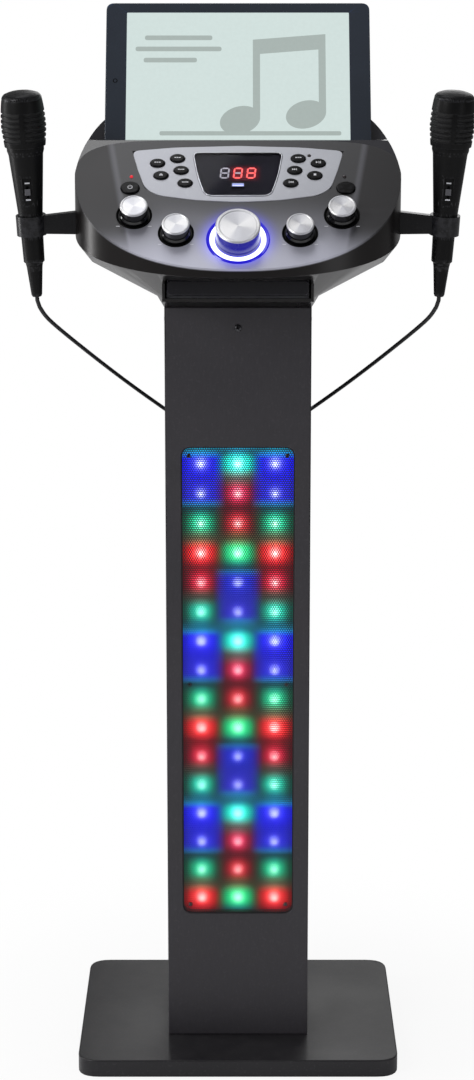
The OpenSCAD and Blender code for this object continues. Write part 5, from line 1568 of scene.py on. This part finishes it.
@dataclass
class Controls:
    """Knobs, their dishes, the lit ring, the marks, lamps and buttons of the control face."""

    knobs: tuple = (("left_outer_knob", (-97.5, 65.5)), ("left_inner_knob", (-58, 43.5)),
                    ("right_inner_knob", (58, 43.5)), ("right_outer_knob", (97.5, 65.5)))
    mark_radius: float = 20.0

    def build(self) -> None:
        """Makes every control."""
        self.dishes()
        self.ring()
        dome = [(0, -9), (1.6, -9), (1.6, 0.5), (1.3, 0.95), (0.7, 1.2), (0, 1.3)]
        for name, spot, finish in (("power_lamp", (-101, 113.5), Finishes.red_lamp),
                                   ("open_lamp", (101, 113.5), Finishes.dark_lamp),
                                   ("remote_eye", REMOTE_EYE, Finishes.dark_lamp)):
            Workpiece(name).lathe(dome, on_face(*spot), 24).done(
                "stand", finish, "lamp_red", ["indicator_lamps"])
        self.buttons()
        dress_node("circuit_boards", Finishes.circuit)

    def dishes(self) -> None:
        """Makes the small knobs, the dishes that they stand in, their marks, and the main knob."""
        dishes = Workpiece("knob_dishes")
        dish = [(4, -1.2), (17, -1.2), (17, 0.5), (16.5, 0.75), (15.6, 0.2), (14.9, -0.5), (4, -0.55),
                (4, -1.2)]
        spots = []
        for name, (x, s) in self.knobs:
            Knob(name, (x, s)).build()
            dishes.lathe(fillet(dish, 0.2, closed=False, bits=2), on_face(x, s), 72)
            for a in (math.radians(-42), math.radians(222)):
                spots.append((x + self.mark_radius * math.cos(a), s + self.mark_radius * math.sin(a), 0.02))
        dishes.done("stand", Finishes.gloss, "bezel_black", ["knob_bezels"])
        Knob("main_volume_knob", DIAL, 21.0, 20.4, True).build()
        grey = Finishes.print_grey
        marks = grown(mark_tree(), {"Length": 3.4, "Width": 0.6, "Height": 0.06,
                                    "Material": grey.material()}, spots)
        Workpiece("scale_marks").add_mesh(marks, on_face(0, 0)).done("stand", grey, "face_plastic")

    @staticmethod
    def ring() -> None:
        """Makes the lit ring round the main knob and its black rim, which has a painted blue glow of the
        ring's light.
        """
        dial = on_face(*DIAL)
        glow = [(21.8, -1.2), (26.4, -1.2), (26.4, 0.5), (25.6, 1.0), (23.5, 0.9), (21.8, 0.3), (21.8, -1.2)]
        Workpiece("lit_ring").lathe(glow, dial, 96).done("stand", Finishes.ring, "ring_glow", ["light_ring"])
        rim = [(26.5, -1.2), (29.8, -1.2), (29.8, 0.3), (28.9, 1.0), (27.2, 0.9), (26.5, 0.3), (26.5, -1.2)]
        Workpiece("ring_rim").lathe(rim, dial, 96).done(
            "stand", Finishes.rim_painted_glow, "bezel_black", ["knob_bezels"])

    @staticmethod
    def buttons() -> None:
        """Makes the ten buttons of the panel, the power button and the open button."""
        icons = (Icon.MODE, Icon.MODE, Icon.EJECT, Icon.MODE, Icon.MODE,
                 Icon.MODE, Icon.PLAY, Icon.NEXT, Icon.STOP, Icon.BACK)
        for k, (icon, spot) in enumerate(zip(icons, Display.holes)):
            side = "left" if k < 5 else "right"
            PushButton(f"{side}_button_{k % 5 + 1}", spot, icon).build()
        PushButton("power_button", (-102, 99), Icon.NONE, (18, 15), 2.6, 2.0, True).build()
        PushButton("open_button", (102, 99), Icon.NONE, (18, 15), 2.6, 2.0).build()


@dataclass
class Drawer:
    """Disc drawer under the lip."""

    def build(self) -> None:
        """Makes the door, the tray, the guide, the gear and the disc hub."""
        Workpiece("drawer_door").slab(oblong(133, 14, 3), 0, 3, shift(0, -128, 796.5) @ FACING_FRONT,
                                      rim=0.9).done("disc_drawer", Finishes.door, "door_black", ["tray_door"])
        Workpiece("drawer_tray").copy_node("disc_tray", 0.4, sharp=60).done(
            "disc_drawer", Finishes.tray, "tray_grey", ["disc_tray"])
        Workpiece("drawer_guide").copy_node("drawer_frame").done(
            "stand", Finishes.mould, "frame_grey", ["drawer_frame"])
        Workpiece("toothed_wheel").copy_node("drive_gear").done(
            "drive_gear", Finishes.acetal, "gear_white", ["drive_gear"])
        hub = [(0, -2.2), (1.5, -2.2), (1.5, 0), (14, 0), (14, 1.3), (7.3, 1.3), (7.3, 2.6), (6.2, 3.5),
               (0, 3.5)]
        Workpiece("disc_hub").lathe(fillet(hub, 0.25, closed=False, bits=2), HEAD @ shift(0, 5, 20), 64).done(
            "disc_spindle", Finishes.turned, "spindle_metal", ["disc_spindle"])


@dataclass
class Microphone:
    """Wired microphone with its grille, switch and ring holder."""

    side: int

    @staticmethod
    def girth(z: float) -> float:
        """Radius of the grille at a height along the axis."""
        up = z - 146
        if up < 17:
            return 19.4 + 1.9 * up / 17
        if up < 44:
            return 21.3 * (1 - 0.1 * ((up - 17) / 27) ** 2)
        return 13.1 + math.sqrt(max(0.0, 36 - (up - 44) ** 2))

    def build(self) -> None:
        """Makes body, grille, switch marks and holder."""
        name = "left" if self.side < 0 else "right"
        body, axis = f"{name}_mic", on_microphone(self.side)
        Workpiece(f"{name}_microphone_body").copy_node(f"{name}_mic_body", 0.35, sharp=25).done(
            body, Finishes.microphone, "mic_black", [f"{name}_mic_body"], sharp=24)
        cage = Workpiece(f"{name}_grille_cage")

        def band(low: float, high: float, deep: float = 1.5, sweep: float = 360.0,
                 start: float = 0.0) -> None:
            """Adds a band that follows the grille's outline."""
            count = max(2, round((high - low) / 3))
            heights = [low + (high - low) * k / count for k in range(count + 1)]
            outer = [(self.girth(z), z) for z in heights]
            line = [(outer[0][0] - deep, low), *outer, (outer[-1][0] - deep, high)]
            soft = fillet(line, 0.35, closed=False, bits=2)
            steps = 72 if sweep >= 360 else 5
            cage.lathe([*soft, soft[0]], axis @ turn(start, "Z"), steps, sweep=sweep)

        band(146, 151.6, 3.0)
        for k in range(5):
            band(154.4 + 4.9 * k, 156.6 + 4.9 * k)
        band(178.9, 190.2, 2.0)
        for at in (270, 30, 150):
            band(151.2, 179.3, 1.6, 12.0, at - 6)
        cage.done(body, Finishes.microphone, "mic_black", [f"{name}_mic_grille"])
        liner = [(0, 146.4), (18.0, 146.4), *((self.girth(z) - 1.2, z) for z in range(150, 187, 3))]
        Workpiece(f"{name}_grille_liner").lathe([*liner, (17, 188.5), (0, 188.5)], axis, 64).done(
            body, Finishes.liner, "mic_mesh", [f"{name}_mic_grille"])
        dome = [(self.girth(189.6) - 0.6, 189.4), (self.girth(190.6) - 0.25, 190.4)]
        dome += [(self.girth(z), z) for z in (191.5, 192.5, 193.6, 194.4, 195.1)]
        line = [*dome, (13.6, 196.1), (10.6, 197.0), (6, 197.7), (2.5, 197.95), (0, 198)]
        Workpiece(f"{name}_grille_dome").lathe(line, axis, 72).planar(axis).done(
            body, Finishes.woven, "mic_mesh", [f"{name}_mic_grille"], sharp=60)
        white = Finishes.print_white
        marks = grown(mark_tree(), {"Length": 4.6, "Width": 1.3, "Height": 0.08,
                                    "Material": white.material()}, ((0, 8.4, 0), (0, -7.6, 0)))
        Workpiece(f"{name}_switch_marks").add_mesh(marks, axis @ shift(0, -12.2, 104) @ FACING_FRONT).done(
            body, white, "switch_grey")
        Workpiece(f"{name}_switch_slider").copy_node(f"{name}_mic_switch", 0.3).done(
            f"{name}_mic_switch", Finishes.slider, "switch_grey", [f"{name}_mic_switch"])
        Workpiece(f"{name}_ring_holder").copy_node(f"{name}_mic_holder", 0.9, sharp=50).done(
            "stand", Finishes.holder, "holder_black", [f"{name}_mic_holder"])


@dataclass
class Tablet:
    """Tablet that stands in the head's groove."""

    width: float = 258.0
    height: float = 160.0

    def build(self) -> None:
        """Makes the case, the front glass, the lit screen and its pale shapes."""
        front = ON_TABLET @ FACING_FRONT
        mid = self.height / 2
        case = Workpiece("tablet_back")
        case.slab(oblong(self.width, self.height, 8, 0, mid), -9, -0.7, front, rim=0.3, foot=2.6)
        case.slab(oblong(7, 1.2, 0.5, 100, self.height + 0.05), -5.6, -3.6, front, rim=0.2)
        case.done("tablet", Finishes.case, "tablet_case", ["tablet_body"])
        opening = oblong(217.4, 136.4, 0.8, 0, mid + 1)
        glass = Workpiece("tablet_front")
        glass.slab(oblong(self.width - 1, self.height - 1, 7.4, 0, mid), -0.8, 0, front, rim=0.35,
                   holes=[opening])
        glass.done("tablet", Finishes.bezel, "tablet_case", ["tablet_body"])
        eye = [(0, -0.3), (2.3, -0.3), (2.3, 0.02), (1.5, 0.03), (1.4, -0.05), (0, -0.1)]
        lens = Workpiece("tablet_lens").lathe(eye, front @ shift(-119.5, 76, 0), 32)
        lens.done("tablet", Finishes.gloss, "tablet_case")
        Workpiece("tablet_display").slab(opening, -0.8, -0.08, front).done(
            "tablet", Finishes.screen, "tablet_glass", ["tablet_screen"])
        self.picture(front)

    @staticmethod
    def picture(front: Matrix) -> None:
        """Makes the pale bars and the note on the screen."""
        shapes = Workpiece("screen_shapes")
        for x, y, w, h in ((-58, 122, 66, 5), (-58, 110, 84, 5), (-66, 98, 52, 5), (12, 20, 176, 4.5)):
            shapes.slab(oblong(w, h, h * 0.48, x, y), -0.09, -0.04, front)
        for x, y in ((2, 34), (66, 40)):
            shapes.slab(moved(oval(40, 29), x, y, 18), -0.09, -0.04, front)
        for x, low in ((18, 38), (82, 44)):
            shapes.slab(oblong(7, 78, 0.6, x, low + 39), -0.09, -0.045, front)
        shapes.slab([(14.5, 104), (85.5, 110), (85.5, 126), (14.5, 120)], -0.09, -0.05, front)
        shapes.done("tablet", Finishes.screen_grey, "tablet_glass")


@dataclass
class RearSockets:
    """Socket plate on the head's back, and the clip that holds the leads."""

    def build(self) -> None:
        """Makes the plate, its metal rings and screws, and the clip."""
        Workpiece("socket_plate").copy_node("rear_sockets", 0.3).done(
            "stand", Finishes.satin, "socket_black", ["rear_sockets"])
        rings = Workpiece("socket_rings")
        for x, r in ((-JACK_OUT, 3.25), (JACK_OUT, 3.25), (12, 1.8)):
            spot = ON_SOCKETS @ shift(x, 0, 0)
            rings.lathe([(r + 0.05, -3), (r + 2.0, -3), (r + 2.0, 0.15), (r + 1.5, 0.4), (r + 0.3, 0.4),
                         (r + 0.05, 0.2), (r + 0.05, -3)], spot, 40)
        rings.done("stand", Finishes.chrome, "socket_metal")
        heads = grown(screw_tree(), {"Radius": 2.4, "Height": 1.2, "Material": Finishes.zinc.material()},
                      ((-47, 7, 0), (47, 7, 0), (-47, -7, 0), (47, -7, 0)))
        Workpiece("socket_screws").add_mesh(heads, ON_SOCKETS).done("stand", Finishes.zinc, "dark_metal")
        Workpiece("lead_clip_block").copy_node("lead_clip", 0.4).done(
            "stand", Finishes.satin, "holder_black", ["lead_clip"])


def machine() -> None:
    """Builds and dresses every sub-assembly in order."""
    Studio().build()
    for part in (Lead(-1), Lead(1), Base(), Column(), LightWindow(), HeadShells(), Display(), Controls(),
                 Drawer(), Microphone(-1), Microphone(1), Tablet(), RearSockets()):
        part.build()


if __name__ == "__main__":
    logging.basicConfig(level=logging.INFO, format="%(message)s")
    machine()
